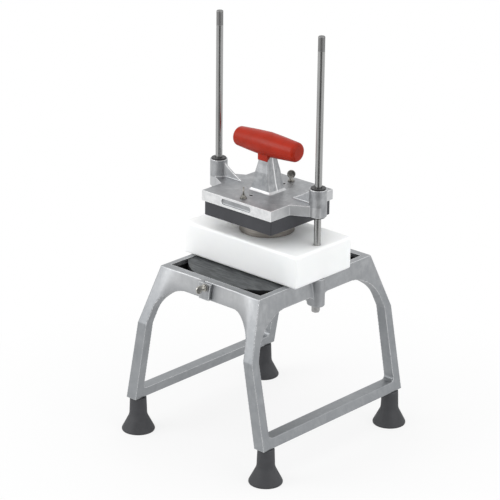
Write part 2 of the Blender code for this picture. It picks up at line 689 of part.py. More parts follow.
def blade(number):
    """A radial blade, sharpened along its top edge."""
    low = CUP_BOTTOM + BLADE_RAISE
    high = low + BLADE_HEIGHT
    bevel_start = high - 3 * BLADE_THICKNESS
    half = BLADE_THICKNESS / 2
    edge = BLADE_THICKNESS / 10
    outline = [(-half, low), (half, low), (half, bevel_start), (edge, high), (-edge, high),
               (-half, bevel_start)]
    shape = prism(outline, CORE_RADIUS + GAP, CUP_RADIUS - CUP_WALL - GAP, "X")
    made = add_object("blade_%d" % (number + 1), shape, product, colour=(0.62, 0.62, 0.63),
                      roughness=0.2, metallic=1.0)
    made.rotation_euler.z = 2 * math.pi * number / BLADE_COUNT
    return made


# Head

def loft(sections):
    """A closed solid through rings of points, from bottom to top."""
    made = bmesh.new()
    rings = [[made.verts.new(point) for point in section] for section in sections]
    for lower, upper in zip(rings[:-1], rings[1:]):
        for index in range(len(lower)):
            following = (index + 1) % len(lower)
            made.faces.new((lower[index], lower[following], upper[following], upper[index]))
    made.faces.new(list(reversed(rings[0])))
    made.faces.new(rings[-1])
    bmesh.ops.recalc_face_normals(made, faces=made.faces)
    return made


def plate_outline():
    """The head plate with its two arms, as (x, y)."""
    quarter = [(PLATE_HALF_X, PLATE_HALF_Y), (PLATE_HALF_X, ARM_KINK_Y), (ROD_X - ARM_END_INSET, ARM_END_Y)]
    outline = [(x, -y) for x, y in quarter] + [(x, y) for x, y in reversed(quarter)]
    outline += [(-x, y) for x, y in quarter] + [(-x, -y) for x, y in reversed(quarter)]
    return outline


def post_shape():
    """The flared post: rounded rectangles of changing size, joined from bottom to top."""
    return loft([[(x, y, PLATE_TOP + height) for x, y in rounded_rectangle(half_x, half_y, POST_CORNER, 2)]
                 for height, half_x, half_y in POST_SECTIONS])


def gusset(sign):
    inner = sign * GUSSET_REACH
    outer = sign * (ROD_X - GUSSET_OVERLAP)
    shoulder = sign * (ROD_X - HEAD_BOSS_RADIUS + GUSSET_THICKNESS / 2)
    low = PLATE_TOP - GUSSET_THICKNESS
    high = HEAD_BOSS_TOP - GUSSET_TOP_DROP
    outline = [(inner, low), (outer, low), (outer, high), (shoulder, high), (inner, PLATE_TOP + 2 * GAP)]
    return prism(outline, -GUSSET_THICKNESS / 2, GUSSET_THICKNESS / 2, "Y")


def cross_bar():
    bar = cylinder(CROSS_BAR_RADIUS, -CROSS_BAR_HALF_LENGTH, CROSS_BAR_HALF_LENGTH, SMALL_ROUND)
    bar.transform(Matrix.Translation((0, 0, GRIP_Z)) @ Matrix.Rotation(math.radians(90), 4, "Y"))
    return bar


def underside_pocket():
    outline = rounded_rectangle(PLATE_HALF_X - PLATE_WALL, PLATE_HALF_Y - PLATE_WALL, PLATE_WALL, 3)
    return prism(outline, PLATE_BOTTOM - CUT_PAST, PLATE_TOP - PLATE_WALL)


def name_slot(sign):
    """The shallow oblong recess in the plate's front and back edge, left bare."""
    centre = PLATE_TOP - NAME_SLOT_BELOW_TOP
    radius = NAME_SLOT_HEIGHT / 2
    straight = NAME_SLOT_HALF_LENGTH - radius
    outline = arc(straight, centre, radius, -90, 90, 8) + arc(-straight, centre, radius, 90, 270, 8)
    face = sign * PLATE_HALF_Y
    ends = sorted((face - sign * NAME_SLOT_DEPTH, face + sign * CUT_PAST))
    return prism(outline, ends[0], ends[1], "Y")


def head_casting():
    plate = prism(plate_outline(), PLATE_BOTTOM, PLATE_TOP)
    made = add_object("head_casting", plate, product, colour=(0.64, 0.65, 0.66), roughness=0.40,
                      metallic=0.9)
    boolean(made, add_cutter("head_pocket", underside_pocket()), "DIFFERENCE")
    bevel(made, CAST_EDGE, 2)
    adds = [("post", post_shape()), ("cross_bar", cross_bar())]
    inside_top = PLATE_TOP - PLATE_WALL / 3
    adds.append(("hub", cylinder(HUB_RADIUS, PLATE_BOTTOM, inside_top, ROUND)))
    rib_end = PLATE_HALF_X - PLATE_WALL / 2
    rib = box((-rib_end, -PLATE_RIB_THICKNESS / 2, PLATE_BOTTOM),
              (rib_end, PLATE_RIB_THICKNESS / 2, inside_top))
    adds.append(("rib", rib))
    for sign in (-1, 1):
        tag = "%d" % (sign > 0)
        adds.append(("boss_" + tag,
                     cylinder(HEAD_BOSS_RADIUS, PLATE_BOTTOM, HEAD_BOSS_TOP, ROUND, sign * ROD_X)))
        adds.append(("gusset_" + tag, gusset(sign)))
        screw_boss = cylinder(SCREW_BOSS_RADIUS, PLATE_BOTTOM, inside_top, ROUND, 0.0, sign * THUMB_Y)
        adds.append(("screw_boss_" + tag, screw_boss))
        pin_boss = cylinder(PIN_BOSS_RADIUS, PLATE_BOTTOM, inside_top, ROUND, 0.0, sign * DOWEL_Y)
        adds.append(("pin_boss_" + tag, pin_boss))
    for tag, shape in adds:
        boolean(made, add_cutter("head_" + tag, shape), "UNION")
    low = PLATE_BOTTOM - CUT_PAST
    high = PLATE_TOP + CUT_PAST
    for sign in (-1, 1):
        tag = "%d" % (sign > 0)
        bore = cylinder(BUSH_SLEEVE_RADIUS + GAP, low, HEAD_BOSS_TOP + CUT_PAST, MEDIUM_ROUND, sign * ROD_X)
        boolean(made, add_cutter("head_bush_bore_" + tag, bore), "DIFFERENCE")
        screw = cylinder(THUMB_SHANK_RADIUS + GAP, low, high, SMALL_ROUND, 0.0, sign * THUMB_Y)
        boolean(made, add_cutter("head_screw_hole_" + tag, screw), "DIFFERENCE")
        pin = cylinder(DOWEL_RADIUS + GAP, low, high, SMALL_ROUND, 0.0, sign * DOWEL_Y)
        boolean(made, add_cutter("head_pin_hole_" + tag, pin), "DIFFERENCE")
        boolean(made, add_cutter("head_slot_" + tag, name_slot(sign)), "DIFFERENCE")
    smooth(made)
    return made


def grip():
    """The grip, turned about X, fullest at its middle, hollow for the cross bar and open below."""
    turn_in = GRIP_HALF_LENGTH - GRIP_END_ROUND
    half = [(0.0, GRIP_HALF_LENGTH)]
    half += arc(GRIP_END_RADIUS - GRIP_END_ROUND, turn_in, GRIP_END_ROUND, 90, 0, 4)
    for share in (0.75, 0.5, 0.3, 0.12):
        half.append((GRIP_RADIUS - (GRIP_RADIUS - GRIP_END_RADIUS) * share ** GRIP_CROWN, turn_in * share))
    profile = half + [(radius, -along) for radius, along in reversed(half)]
    source = turned("grip_source", profile, MEDIUM_ROUND, cutters, (0.5, 0.05, 0.03), 0.4, 0.0)
    barrel = evaluated_bmesh(source)
    bpy.data.objects.remove(source, do_unlink=True)
    bmesh.ops.remove_doubles(barrel, verts=barrel.verts, dist=0.00002)
    barrel.transform(Matrix.Translation((0, 0, GRIP_Z)) @ Matrix.Rotation(math.radians(90), 4, "Y"))
    made = add_object("grip", barrel, product, colour=(0.50, 0.035, 0.022), roughness=0.38)
    skirt_low = GRIP_Z - SKIRT_BELOW_AXIS
    for sign in (-1, 1):
        ends = sorted((sign * SKIRT_INNER_Y, sign * SKIRT_OUTER_Y))
        skirt = box((-SKIRT_HALF_X, ends[0], skirt_low), (SKIRT_HALF_X, ends[1], GRIP_Z - GRIP_RADIUS / 3))
        bmesh.ops.bevel(skirt, geom=skirt.edges[:], offset=SKIRT_EDGE, segments=2, affect="EDGES",
                        profile=0.5)
        boolean(made, add_cutter("grip_skirt_%d" % (sign > 0), skirt), "UNION")
    bar_space = cylinder(CROSS_BAR_RADIUS + GAP, -CROSS_BAR_HALF_LENGTH - GAP,
                         CROSS_BAR_HALF_LENGTH + GAP, SMALL_ROUND)
    bar_space.transform(Matrix.Translation((0, 0, GRIP_Z)) @ Matrix.Rotation(math.radians(90), 4, "Y"))
    boolean(made, add_cutter("grip_bar_space", bar_space), "DIFFERENCE")
    boolean(made, add_cutter("grip_post_space", post_space()), "DIFFERENCE")
    smooth(made)
    return made


def post_space():
    """The post's own form with clearance all round, which the grip leaves free."""
    sections = []
    for height, half_x, half_y in POST_SECTIONS[4:]:
        lift = GAP if height == POST_SECTIONS[-1][0] else 0.0
        outline = rounded_rectangle(half_x + GAP, half_y + GAP, POST_CORNER, 2)
        sections.append([(x, y, PLATE_TOP + height + lift) for x, y in outline])
    return loft(sections)


def bushing(name, sign, upper):
    """A flanged sleeve. The flange lies outside the boss, above it or below it."""
    if upper:
        flange_low = HEAD_BOSS_TOP + GAP
        flange_high = flange_low + BUSH_FLANGE_THICKNESS
        sleeve_low = flange_low - BUSH_LENGTH
        profile = [(ROD_BORE, flange_high), (BUSH_FLANGE_RADIUS, flange_high),
                   (BUSH_FLANGE_RADIUS, flange_low),
                   (BUSH_SLEEVE_RADIUS, flange_low), (BUSH_SLEEVE_RADIUS, sleeve_low),
                   (ROD_BORE, sleeve_low)]
    else:
        flange_high = PLATE_BOTTOM - GAP
        flange_low = flange_high - BUSH_FLANGE_THICKNESS
        sleeve_high = flange_high + BUSH_LENGTH
        profile = [(ROD_BORE, sleeve_high), (BUSH_SLEEVE_RADIUS, sleeve_high),
                   (BUSH_SLEEVE_RADIUS, flange_high),
                   (BUSH_FLANGE_RADIUS, flange_high), (BUSH_FLANGE_RADIUS, flange_low),
                   (ROD_BORE, flange_low)]
    made = turned(name, profile, MEDIUM_ROUND, product, (0.020, 0.020, 0.022), 0.45, 0.0)
    made.location = (sign * ROD_X, 0.0, 0.0)
    return made


def finger(number):
    """One plunger finger: a sector that passes between two blades."""
    sector = 2 * math.pi / BLADE_COUNT
    middle = sector * (number + 0.5)
    inner = CORE_RADIUS + FINGER_CUP_CLEARANCE
    outer = CUP_RADIUS - CUP_WALL - FINGER_CUP_CLEARANCE
    side = BLADE_THICKNESS / 2 + FINGER_BLADE_CLEARANCE
    half_inner = sector / 2 - math.asin(side / inner)
    half_outer = sector / 2 - math.asin(side / outer)
    outline = arc(0, 0, inner, math.degrees(middle + half_inner), math.degrees(middle - half_inner), 2)
    outline += arc(0, 0, outer, math.degrees(middle - half_outer), math.degrees(middle + half_outer), 6)
    return prism(outline, PLUNGER_BOTTOM - FINGER_LENGTH, PLUNGER_BOTTOM + PLUNGER_CORNER)


def plunger():
    block = prism(rounded_rectangle(PLUNGER_HALF_X, PLUNGER_HALF_Y, PLUNGER_CORNER, 3), PLUNGER_BOTTOM,
                  PLUNGER_TOP)
    made = add_object("plunger", block, product, colour=(0.040, 0.041, 0.045), roughness=0.6)
    bevel(made, PLUNGER_EDGE, 1)
    for number in range(BLADE_COUNT):
        boolean(made, add_cutter("plunger_finger_%d" % number, finger(number)), "UNION")
    for sign in (-1, 1):
        tag = "%d" % (sign > 0)
        high = PLUNGER_TOP + CUT_PAST
        seat_low = PLUNGER_TOP - INSERT_LENGTH - 2 * GAP
        seat = cylinder(INSERT_RADIUS + GAP, seat_low, high, SMALL_ROUND, 0.0, sign * THUMB_Y)
        boolean(made, add_cutter("plunger_insert_seat_" + tag, seat), "DIFFERENCE")
        pin_low = PLUNGER_TOP - DOWEL_LENGTH / 2 - GAP
        pin = cylinder(DOWEL_RADIUS + GAP, pin_low, high, SMALL_ROUND, 0.0, sign * DOWEL_Y)
        boolean(made, add_cutter("plunger_pin_seat_" + tag, pin), "DIFFERENCE")
    smooth(made)
    return made


def plunger_insert(name, sign):
    """The threaded brass sleeve in the plunger that a head thumb screw goes into."""
    top = PLUNGER_TOP - GAP
    low = top - INSERT_LENGTH
    bore = THUMB_SHANK_RADIUS + GAP
    profile = [(bore, top), (INSERT_RADIUS, top), (INSERT_RADIUS, low), (bore, low)]
    made = turned(name, profile, SMALL_ROUND, product, (0.62, 0.45, 0.18), 0.35, 1.0)
    made.location = (0.0, sign * THUMB_Y, 0.0)


def dowel_pin(name, sign):
    """A pin that lines the plunger up with the head casting."""
    low = PLUNGER_TOP - DOWEL_LENGTH / 2
    pin = cylinder(DOWEL_RADIUS, low, low + DOWEL_LENGTH, SMALL_ROUND, 0.0, sign * DOWEL_Y)
    smooth(add_object(name, pin, product, colour=(0.10, 0.10, 0.10), roughness=0.4, metallic=1.0))


# Thumb screws

def thumb_screw(name, shank_length):
    """A thumb screw along +Z, whose flange rests on the plane z = 0. The paddle lies in the XZ plane."""
    top = THUMB_FLANGE_THICKNESS
    profile = [
        (0.0, top + THUMB_NECK_HEIGHT),
        (THUMB_NECK_RADIUS, top + THUMB_NECK_HEIGHT),
        (THUMB_NECK_RADIUS + THUMB_NECK_FLARE, top),
        (THUMB_FLANGE_RADIUS - THUMB_EDGE, top),
        (THUMB_FLANGE_RADIUS, top - THUMB_EDGE),
        (THUMB_FLANGE_RADIUS, 0.0),
        (THUMB_SHANK_RADIUS, 0.0),
        (THUMB_SHANK_RADIUS, -shank_length),
        (0.0, -shank_length),
    ]
    stem = turned(name, profile, SMALL_ROUND, product, (0.42, 0.41, 0.38), 0.38, 1.0)
    paddle = cylinder(THUMB_PADDLE_RADIUS, -THUMB_PADDLE_THICKNESS / 2, THUMB_PADDLE_THICKNESS / 2, 24)
    rim = [edge for edge in paddle.edges if abs(edge.verts[0].co.z - edge.verts[1].co.z) < GAP]
    bmesh.ops.bevel(paddle, geom=rim, offset=THUMB_EDGE, segments=1, affect="EDGES")
    paddle.transform(Matrix.Translation((0, 0, THUMB_PADDLE_CENTRE))
                     @ Matrix.Rotation(math.radians(90), 4, "X"))
    tool = add_cutter(name + "_paddle", paddle)
    boolean(stem, tool, "UNION")
    return stem, tool


def head_thumb_screw(name, sign, turn):
    """Held by an empty on the screw's axis, on the plate's top."""
    hinge = bpy.data.objects.new(name + "_axis", None)
    product.objects.link(hinge)
    hinge.location = (0.0, sign * THUMB_Y, PLATE_TOP + GAP)
    reach = PLATE_THICKNESS + 2 * GAP + INSERT_LENGTH
    for piece in thumb_screw(name, reach):
        piece.parent = hinge
        piece.rotation_euler.z = math.radians(turn)


def frame_thumb_screw(name, sign):
    """Clamps the lap at the front or the back, and points out from the ear's face."""
    hinge = bpy.data.objects.new(name + "_axis", None)
    product.objects.link(hinge)
    face = EAR_FACE_Y + 2 * GAP + WASHER_THICKNESS
    hinge.location = (-sign * LAP_SCREW_X, sign * face, LAP_SCREW_Z)
    hinge.rotation_euler.x = math.radians(-90 * sign)
    reach = face - OPENING_HALF_Y - GAP
    for piece in thumb_screw(name, reach):
        piece.parent = hinge
        piece.rotation_euler.z = math.radians(THUMB_TURN_FRAME)


def frame_washer(name, sign):
    bore = THUMB_SHANK_RADIUS + GAP
    profile = [(bore, WASHER_THICKNESS), (WASHER_RADIUS, WASHER_THICKNESS), (WASHER_RADIUS, 0.0),
               (bore, 0.0)]
    made = turned(name, profile, SMALL_ROUND, product, (0.55, 0.55, 0.55), 0.3, 1.0)
    made.location = (-sign * LAP_SCREW_X, sign * (EAR_FACE_Y + GAP), LAP_SCREW_Z)
    made.rotation_euler.x = math.radians(-90 * sign)


def build():
    frame_half("frame_half_right", 0.0)
    frame_half("frame_half_left", math.pi)
    for side, sign in (("left", -1), ("right", 1)):
        guide_rod("guide_rod_" + side, sign)
        rod_screw("rod_screw_" + side, sign)
        bushing("bushing_%s_upper" % side, sign, True)
        bushing("bushing_%s_lower" % side, sign, False)
        for end, sign_y in (("front", -1), ("back", 1)):
            foot("foot_%s_%s" % (end, side), sign, sign_y)
            foot_screw("foot_screw_%s_%s" % (end, side), sign, sign_y)
    board()
    catch_tray()
    blade_cup()
    blade_core()
    for number in range(BLADE_COUNT):
        blade(number)
    head_casting()
    grip()
    plunger()
    head_thumb_screw("thumb_screw_front", -1, THUMB_TURN_FRONT)
    head_thumb_screw("thumb_screw_back", 1, THUMB_TURN_BACK)
    for end, sign_y in (("front", -1), ("back", 1)):
        plunger_insert("plunger_insert_" + end, sign_y)
        dowel_pin("dowel_pin_" + end, sign_y)
        frame_thumb_screw("frame_thumb_screw_" + end, sign_y)
        frame_washer("frame_washer_" + end, sign_y)


clear_scene()
product = new_collection("manual_vegetable_slicer")
cutters = new_collection("cutters")
build()
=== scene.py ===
"""Looks of the manual vegetable slicer: cast aluminium, steel, moulded plastic and rubber on a white table.

Blender 4.5, metres, +Z up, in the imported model's own frame. Each visible piece is a finer mesh in the place
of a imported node, built from the same sizes, and rides on the same body.
"""

import math

import bmesh
import bpy
from mathutils import Matrix, Vector


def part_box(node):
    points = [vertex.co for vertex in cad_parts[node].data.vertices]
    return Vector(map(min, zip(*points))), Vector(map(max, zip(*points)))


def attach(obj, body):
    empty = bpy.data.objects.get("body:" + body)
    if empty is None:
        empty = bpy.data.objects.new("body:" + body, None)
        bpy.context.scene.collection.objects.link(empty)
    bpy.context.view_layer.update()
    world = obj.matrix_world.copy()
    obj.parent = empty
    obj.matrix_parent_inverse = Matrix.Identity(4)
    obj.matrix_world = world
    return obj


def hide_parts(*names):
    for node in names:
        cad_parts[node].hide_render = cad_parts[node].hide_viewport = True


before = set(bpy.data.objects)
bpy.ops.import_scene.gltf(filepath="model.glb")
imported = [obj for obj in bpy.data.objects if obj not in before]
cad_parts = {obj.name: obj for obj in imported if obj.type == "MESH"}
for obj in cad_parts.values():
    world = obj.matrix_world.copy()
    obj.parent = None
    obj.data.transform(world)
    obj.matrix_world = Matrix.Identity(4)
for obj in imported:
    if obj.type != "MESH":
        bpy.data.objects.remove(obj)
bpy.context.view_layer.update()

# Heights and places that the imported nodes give
ROD_LOW, ROD_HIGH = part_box("guide_rod_right")
BOARD_LOW, BOARD_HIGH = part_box("cutting_board")
PLUNGER_LOW, PLUNGER_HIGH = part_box("plunger")
CUP_LOW, CUP_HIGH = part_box("blade_cup")
CORE_LOW, CORE_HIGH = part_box("blade_core")
TRAY_LOW, TRAY_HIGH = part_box("catch_tray")
FRAME_LOW, FRAME_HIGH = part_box("frame_half_right")
FOOT_LOW, FOOT_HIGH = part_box("foot_back_right")
FOOT_SCREW_LOW, FOOT_SCREW_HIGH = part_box("foot_screw_back_right")
HEX_LOW, HEX_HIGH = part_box("rod_screw_right")
PLATE_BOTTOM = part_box("head_casting")[0].z
GRIP_HALF_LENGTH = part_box("grip")[1].x

GAP = 0.0003
CUT_PAST = 0.010
QUARTER_TURN = math.radians(90)

# Guide rods
ROD_X = (ROD_LOW.x + ROD_HIGH.x) / 2
ROD_RADIUS = (ROD_HIGH.x - ROD_LOW.x) / 2
ROD_BORE = ROD_RADIUS + GAP
ROD_TIP_ROUND = 0.0020
ROD_TIP_TURNED = 0.00012
ROD_STEP_Z = ROD_HIGH.z - 0.020

# Frame castings
FRAME_TOP = FRAME_HIGH.z
FRAME_BOTTOM = FRAME_LOW.z
FRAME_HALF_X = ROD_X
FRAME_HALF_Y = 0.114
SIDE_RAIL_THICKNESS = 0.0085
END_RAIL_THICKNESS = 0.012
END_RAIL_BOTTOM = FRAME_TOP - 0.0262
SIDE_RAIL_BOTTOM = FRAME_TOP - 0.0243
LEG_WIDTH_X = 0.015
LEG_WIDTH_Y = 0.014
LEG_INNER_X = FRAME_HALF_X - LEG_WIDTH_X
LEG_INNER_Y = FRAME_HALF_Y - LEG_WIDTH_Y
STRETCHER_HEIGHT = 0.0142
ARCH_RADIUS = 0.031
WINDOW_RADIUS = 0.038
FOOT_CORNER_RADIUS = 0.006
CAST_EDGE = 0.0008
CAST_SHINE_REACH = 0.0014
LEG_SPLAY = 0.1945
LEG_TAPER = 0.014
KNEE_DROP = 0.079
KNEE_SLOPE = 0.374
SPLAY_START_X = 0.045
SPLAY_START_Y = 0.035
SPLAY_BANDS = 12
KNEE_ROWS = 7
TRAY_LEDGE = 0.004
TRAY_SEAT_DEPTH = 0.0215
ROD_BOSS_RADIUS = 0.0097
ROD_BOSS_INWARD = 0.0035
ROD_BOSS_OUTWARD = 0.0030
ROD_BOSS_FILLET = 0.010
ROD_BOSS_EDGE = 0.0022
ROD_BOSS_BOTTOM = FRAME_TOP - 0.0405
LAP_SPLIT = 0.0085
LAP_SCREW_X = -0.0028
LAP_SCREW_Z = FRAME_TOP - 0.0070
EAR_THICKNESS = 0.0045
EAR_ROOT = 0.0145
EAR_TIP_TOP = 0.0070
EAR_TIP_BOTTOM = 0.0034
EAR_DROP = 0.0008
EAR_FACE_Y = FRAME_HALF_Y + GAP + EAR_THICKNESS
OPENING_HALF_X = FRAME_HALF_X - SIDE_RAIL_THICKNESS
OPENING_HALF_Y = FRAME_HALF_Y - END_RAIL_THICKNESS
FRAME_VOXEL = 0.0009
# Zone of the painted highlight on the end rails
RAIL_HIGHLIGHT_X = (0.016, 0.078, 0.008)
RAIL_HIGHLIGHT_BOTTOM = FRAME_TOP - 0.024
# Height and blend of the painted shade low on the legs
SHADE_BELOW = FRAME_TOP - 0.052
SHADE_BLEND = 0.022

# Hex screws: the rounded lower edge is given as heights and shares of the width
HEX_ACROSS_FLATS = 0.0107
HEX_BODY = 0.0094
HEX_CROWN = ((0.0, 0.74), (0.0003, 0.84), (0.0008, 0.93), (0.0016, 0.985), (0.0024, 1.0), (HEX_BODY, 1.0))
HEX_SHANK_RADIUS = 0.0028

# Feet
FOOT_X = (FOOT_LOW.x + FOOT_HIGH.x) / 2
FOOT_Y = (FOOT_LOW.y + FOOT_HIGH.y) / 2
FOOT_NECK_RADIUS = 0.0115
FOOT_NECK_GROWTH = 0.0010
FOOT_TOP_ROUND = 0.0020
FOOT_NECK_BOTTOM = 0.0230
FOOT_NECK_SWEEP = 0.0035
FOOT_RADIUS = 0.0231
FOOT_RIM_TOP = 0.0022
FOOT_RIM_ROUND = 0.0012
FOOT_LIP = 0.0008
FOOT_SOLE_RADIUS = 0.0227
FOOT_SOCKET_RADIUS = 0.0068
FOOT_SOCKET_DEPTH = 0.020
FOOT_SCREW_RADIUS = 0.0025
FOOT_SCREW_HEAD_RADIUS = 0.0055
FOOT_SCREW_HEAD_HEIGHT = 0.0035

# Board, cup and tray
BOARD_EDGE = 0.0035
BOARD_HOLE_RADIUS = 0.033
CUP_RADIUS = CUP_HIGH.x
CUP_WALL = 0.0015
CUP_SEAT_DEPTH = 0.025
CUP_LIP = 0.0040
CUP_GROOVE_WIDTH = 0.0025
CUP_GROOVE_SLOPE = 0.0005
CUP_GROOVE_DEPTH = 0.0004
BLADE_THICKNESS = 0.0010
BLADE_COUNT = 6
CORE_RADIUS = CORE_HIGH.x
CORE_WALL = 0.0010
TRAY_WALL = 0.0025
TRAY_RIM_DROP = 0.003
TRAY_DECK_MARGIN = 0.0048
TRAY_HOLE_RADIUS = 0.038
TRAY_EDGE = 0.0004

# Head casting: the post's sections are height over the plate, half width and half depth
PLATE_HALF_X = 0.0624
PLATE_HALF_Y = 0.0630
PLATE_TOP = PLATE_BOTTOM + 0.0147
PLATE_WALL = 0.0045
PLATE_RIB = 0.004
ARM_KINK_Y = 0.025
ARM_END_Y = 0.0112
ARM_END_INSET = 0.003
HEAD_BOSS_RADIUS = 0.012
HEAD_BOSS_TOP = PLATE_BOTTOM + 0.038
HUB_RADIUS = 0.016
SCREW_BOSS_RADIUS = 0.0080
PIN_BOSS_RADIUS = 0.0060
GUSSET_REACH = 0.0452
GUSSET_THICKNESS = 0.0030
GUSSET_OVERLAP = 0.004
GUSSET_TOP_DROP = 0.0034
GUSSET_HOLLOW = 0.0016
POST_SECTIONS = (
    (-0.003, 0.0205, 0.0180), (0.0000, 0.0200, 0.0176), (0.0030, 0.0176, 0.0152), (0.0120, 0.0146, 0.0146),
    (0.0270, 0.0116, 0.0133), (0.0380, 0.0095, 0.0109), (0.0470, 0.0080, 0.0094), (0.0645, 0.0064, 0.0070),
)
POST_CORNER = 0.0014
POST_RIDGE_WIDTH = 0.0007
POST_RIDGE_HEIGHT = 0.0006
CROSS_BAR_RADIUS = 0.0070
CROSS_BAR_HALF_LENGTH = 0.042
SLOT_HALF_LENGTH = 0.0264
SLOT_HEIGHT = 0.0078
SLOT_BELOW_TOP = 0.0073
SLOT_DEPTH = 0.0022
BUSH_SLEEVE_RADIUS = 0.0072
BUSH_FLANGE_RADIUS = 0.0102
BUSH_FLANGE_THICKNESS = 0.0015
BUSH_LENGTH = 0.014
HEAD_VOXEL = 0.0006
POST_FOOT_X = 0.0208
POST_FOOT_Y = 0.0184
POST_FOOT_BAND = 0.0032

# Grip
GRIP_Z = PLATE_TOP + 0.0645
GRIP_RADIUS = 0.0168
GRIP_END_RADIUS = 0.0136
GRIP_END_ROUND = 0.0055
GRIP_CROWN = 1.3
SKIRT_HALF_X = 0.0084
SKIRT_OUTER_Y = 0.0114
SKIRT_INNER_Y = 0.0055
SKIRT_BELOW_AXIS = 0.0212
ALONG_X_AT_GRIP = Matrix.Translation((0, 0, GRIP_Z)) @ Matrix.Rotation(QUARTER_TURN, 4, "Y")

# Plunger, thumb screws and what they screw into. The paddle is dished: its profile is given as shares of
# its radius and half thickness, with the reach of each soft corner.
PLUNGER_HALF_X = PLUNGER_HIGH.x
PLUNGER_HALF_Y = PLUNGER_HIGH.y
PLUNGER_TOP = PLUNGER_HIGH.z
PLUNGER_BOTTOM = PLUNGER_TOP - 0.0202
PLUNGER_CORNER = 0.0020
PLUNGER_EDGE = 0.0008
FINGER_CLEARANCE = 0.0012
THUMB_Y = 0.048
THUMB_SHANK_RADIUS = 0.0024
THUMB_FLANGE_RADIUS = 0.0047
THUMB_FLANGE_THICKNESS = 0.0016
THUMB_NECK_RADIUS = 0.0021
THUMB_NECK_HEIGHT = 0.0040
THUMB_NECK_FLARE = 0.0008
THUMB_PADDLE_RADIUS = 0.0058
THUMB_PADDLE_HALF = 0.0011
THUMB_PADDLE_CENTRE = 0.0098
PADDLE_PROFILE = ((0.0, 0.55, 0.0), (0.60, 0.60, 0.0008), (0.80, 1.0, 0.0006), (1.0, 1.0, 0.0009))
THUMB_TURNS = {"front": math.radians(132), "back": math.radians(42)}
INSERT_RADIUS = 0.0045
INSERT_LENGTH = 0.012
DOWEL_Y = 0.033
DOWEL_RADIUS = 0.0024
DOWEL_LENGTH = 0.018
WASHER_RADIUS = 0.0063
WASHER_THICKNESS = 0.0010

# Shading of edges, in degrees: turned or bevelled pieces, castings and the grip
FINE_SHARP = 34
SKIN_SHARP = 40
GRIP_SHARP = 60

# Table and light. The dark side of the room lies along a heading and beyond a distance.
TABLE_HALF_SIZE = 12.0
TABLE_PAINT = (0.74, 0.74, 0.74)
DARK_PAINT = (0.10, 0.10, 0.10)
DARK_HEADING = (0.672, -0.740, 0.0)
DARK_TURN = (0.76, 0.92)
DARK_DISTANCE = (0.50, 0.75)
SHADOW_DISTANCE = (0.20, 0.50)
SHADOW_LIFT = 0.80
WORLD_LIGHT = 0.95
LAMP_AIM = Vector((0.0, 0.0, 0.25))
LAMPS = (("key", (-1.45, -2.1, 1.6), 1.6, 29.0), ("fill", (2.6, 0.2, 1.4), 1.8, 18.5),
         ("top", (0.2, 0.6, 3.0), 2.2, 6.0))

# Photograph's camera, solved from the rods, rails, feet and plate
PHOTO_SIZE = 500
FOCAL_PIXELS = 2357.46
CAMERA_AZIMUTH = math.radians(42.25)
CAMERA_ELEVATION = math.radians(20.95)
CAMERA_ROLL = math.radians(0.66)
CAMERA_DISTANCE = 3.208
CAMERA_TARGET_SIDE = -0.0227
CAMERA_TARGET_HEIGHT = 0.26232
SENSOR_WIDTH = 36.0


# Mesh helpers

def linked(name, data):
    """A new object in the scene."""
    made = bpy.data.objects.new(name, data)
    bpy.context.scene.collection.objects.link(made)
    return made


def mesh_from(name, shape):
    """A mesh that takes a shape over."""
    mesh = bpy.data.meshes.new(name)
    shape.to_mesh(mesh)
    shape.free()
    return mesh


def evaluated_bmesh(source):
    """The source object's mesh after its modifiers, in world space."""
    bpy.context.view_layer.update()
    depsgraph = bpy.context.evaluated_depsgraph_get()
    mesh = bpy.data.meshes.new_from_object(source.evaluated_get(depsgraph))
    made = bmesh.new()
    made.from_mesh(mesh)
    made.transform(source.matrix_world)
    bpy.data.meshes.remove(mesh)
    return made


def temporary(shape):
    """An object that holds a shape while modifiers work on it. Removing its mesh removes it."""
    bmesh.ops.recalc_face_normals(shape, faces=shape.faces)
    return linked("workpiece", mesh_from("workpiece", shape))


def take_shape(holder):
    """The holder's finished mesh. The holder is removed."""
    shape = evaluated_bmesh(holder)
    bpy.data.meshes.remove(holder.data)
    return shape


def booleans(shape, tools, operation="DIFFERENCE", solver="EXACT"):
    """Joins or cuts a shape with a list of other shapes."""
    holder = temporary(shape)
    helpers = [temporary(tool) for tool in tools]
    for helper in helpers:
        step = holder.modifiers.new("boolean", "BOOLEAN")
        step.operation = operation
        step.solver = solver
        step.object = helper
    made = take_shape(holder)
    for helper in helpers:
        bpy.data.meshes.remove(helper.data)
    return made


def bevelled(shape, width, segments=3, angle=40):
    """Rounds the edges that are sharper than an angle."""
    holder = temporary(shape)
    step = holder.modifiers.new("edge", "BEVEL")
    step.width = width
    step.segments = segments
    step.limit_method = "ANGLE"
    step.angle_limit = math.radians(angle)
    return take_shape(holder)


def cast_skin(shapes, voxel, passes):
    """One skin over overlapping solids, with the soft edges and fillets of a casting."""
    together = bmesh.new()
    for shape in shapes:
        mesh = mesh_from("solid", shape)
        together.from_mesh(mesh)
        bpy.data.meshes.remove(mesh)
    holder = temporary(together)
    skin = holder.modifiers.new("skin", "REMESH")
    skin.mode = "VOXEL"
    skin.voxel_size = voxel
    soften = holder.modifiers.new("soften", "SMOOTH")
    soften.factor = 0.5
    soften.iterations = passes
    return take_shape(holder)


def box(low, high):
    made = bmesh.new()
    bmesh.ops.create_cube(made, size=1.0)
    size = Vector(high) - Vector(low)
    middle = (Vector(high) + Vector(low)) / 2
    made.transform(Matrix.Translation(middle) @ Matrix.Diagonal((*size, 1.0)))
    return made


OUTLINE_PLACES = {
    "Z": Matrix.Identity(4),
    "X": Matrix(((0, 0, 1, 0), (1, 0, 0, 0), (0, 1, 0, 0), (0, 0, 0, 1))),
    "Y": Matrix(((1, 0, 0, 0), (0, 0, 1, 0), (0, 1, 0, 0), (0, 0, 0, 1))),
}


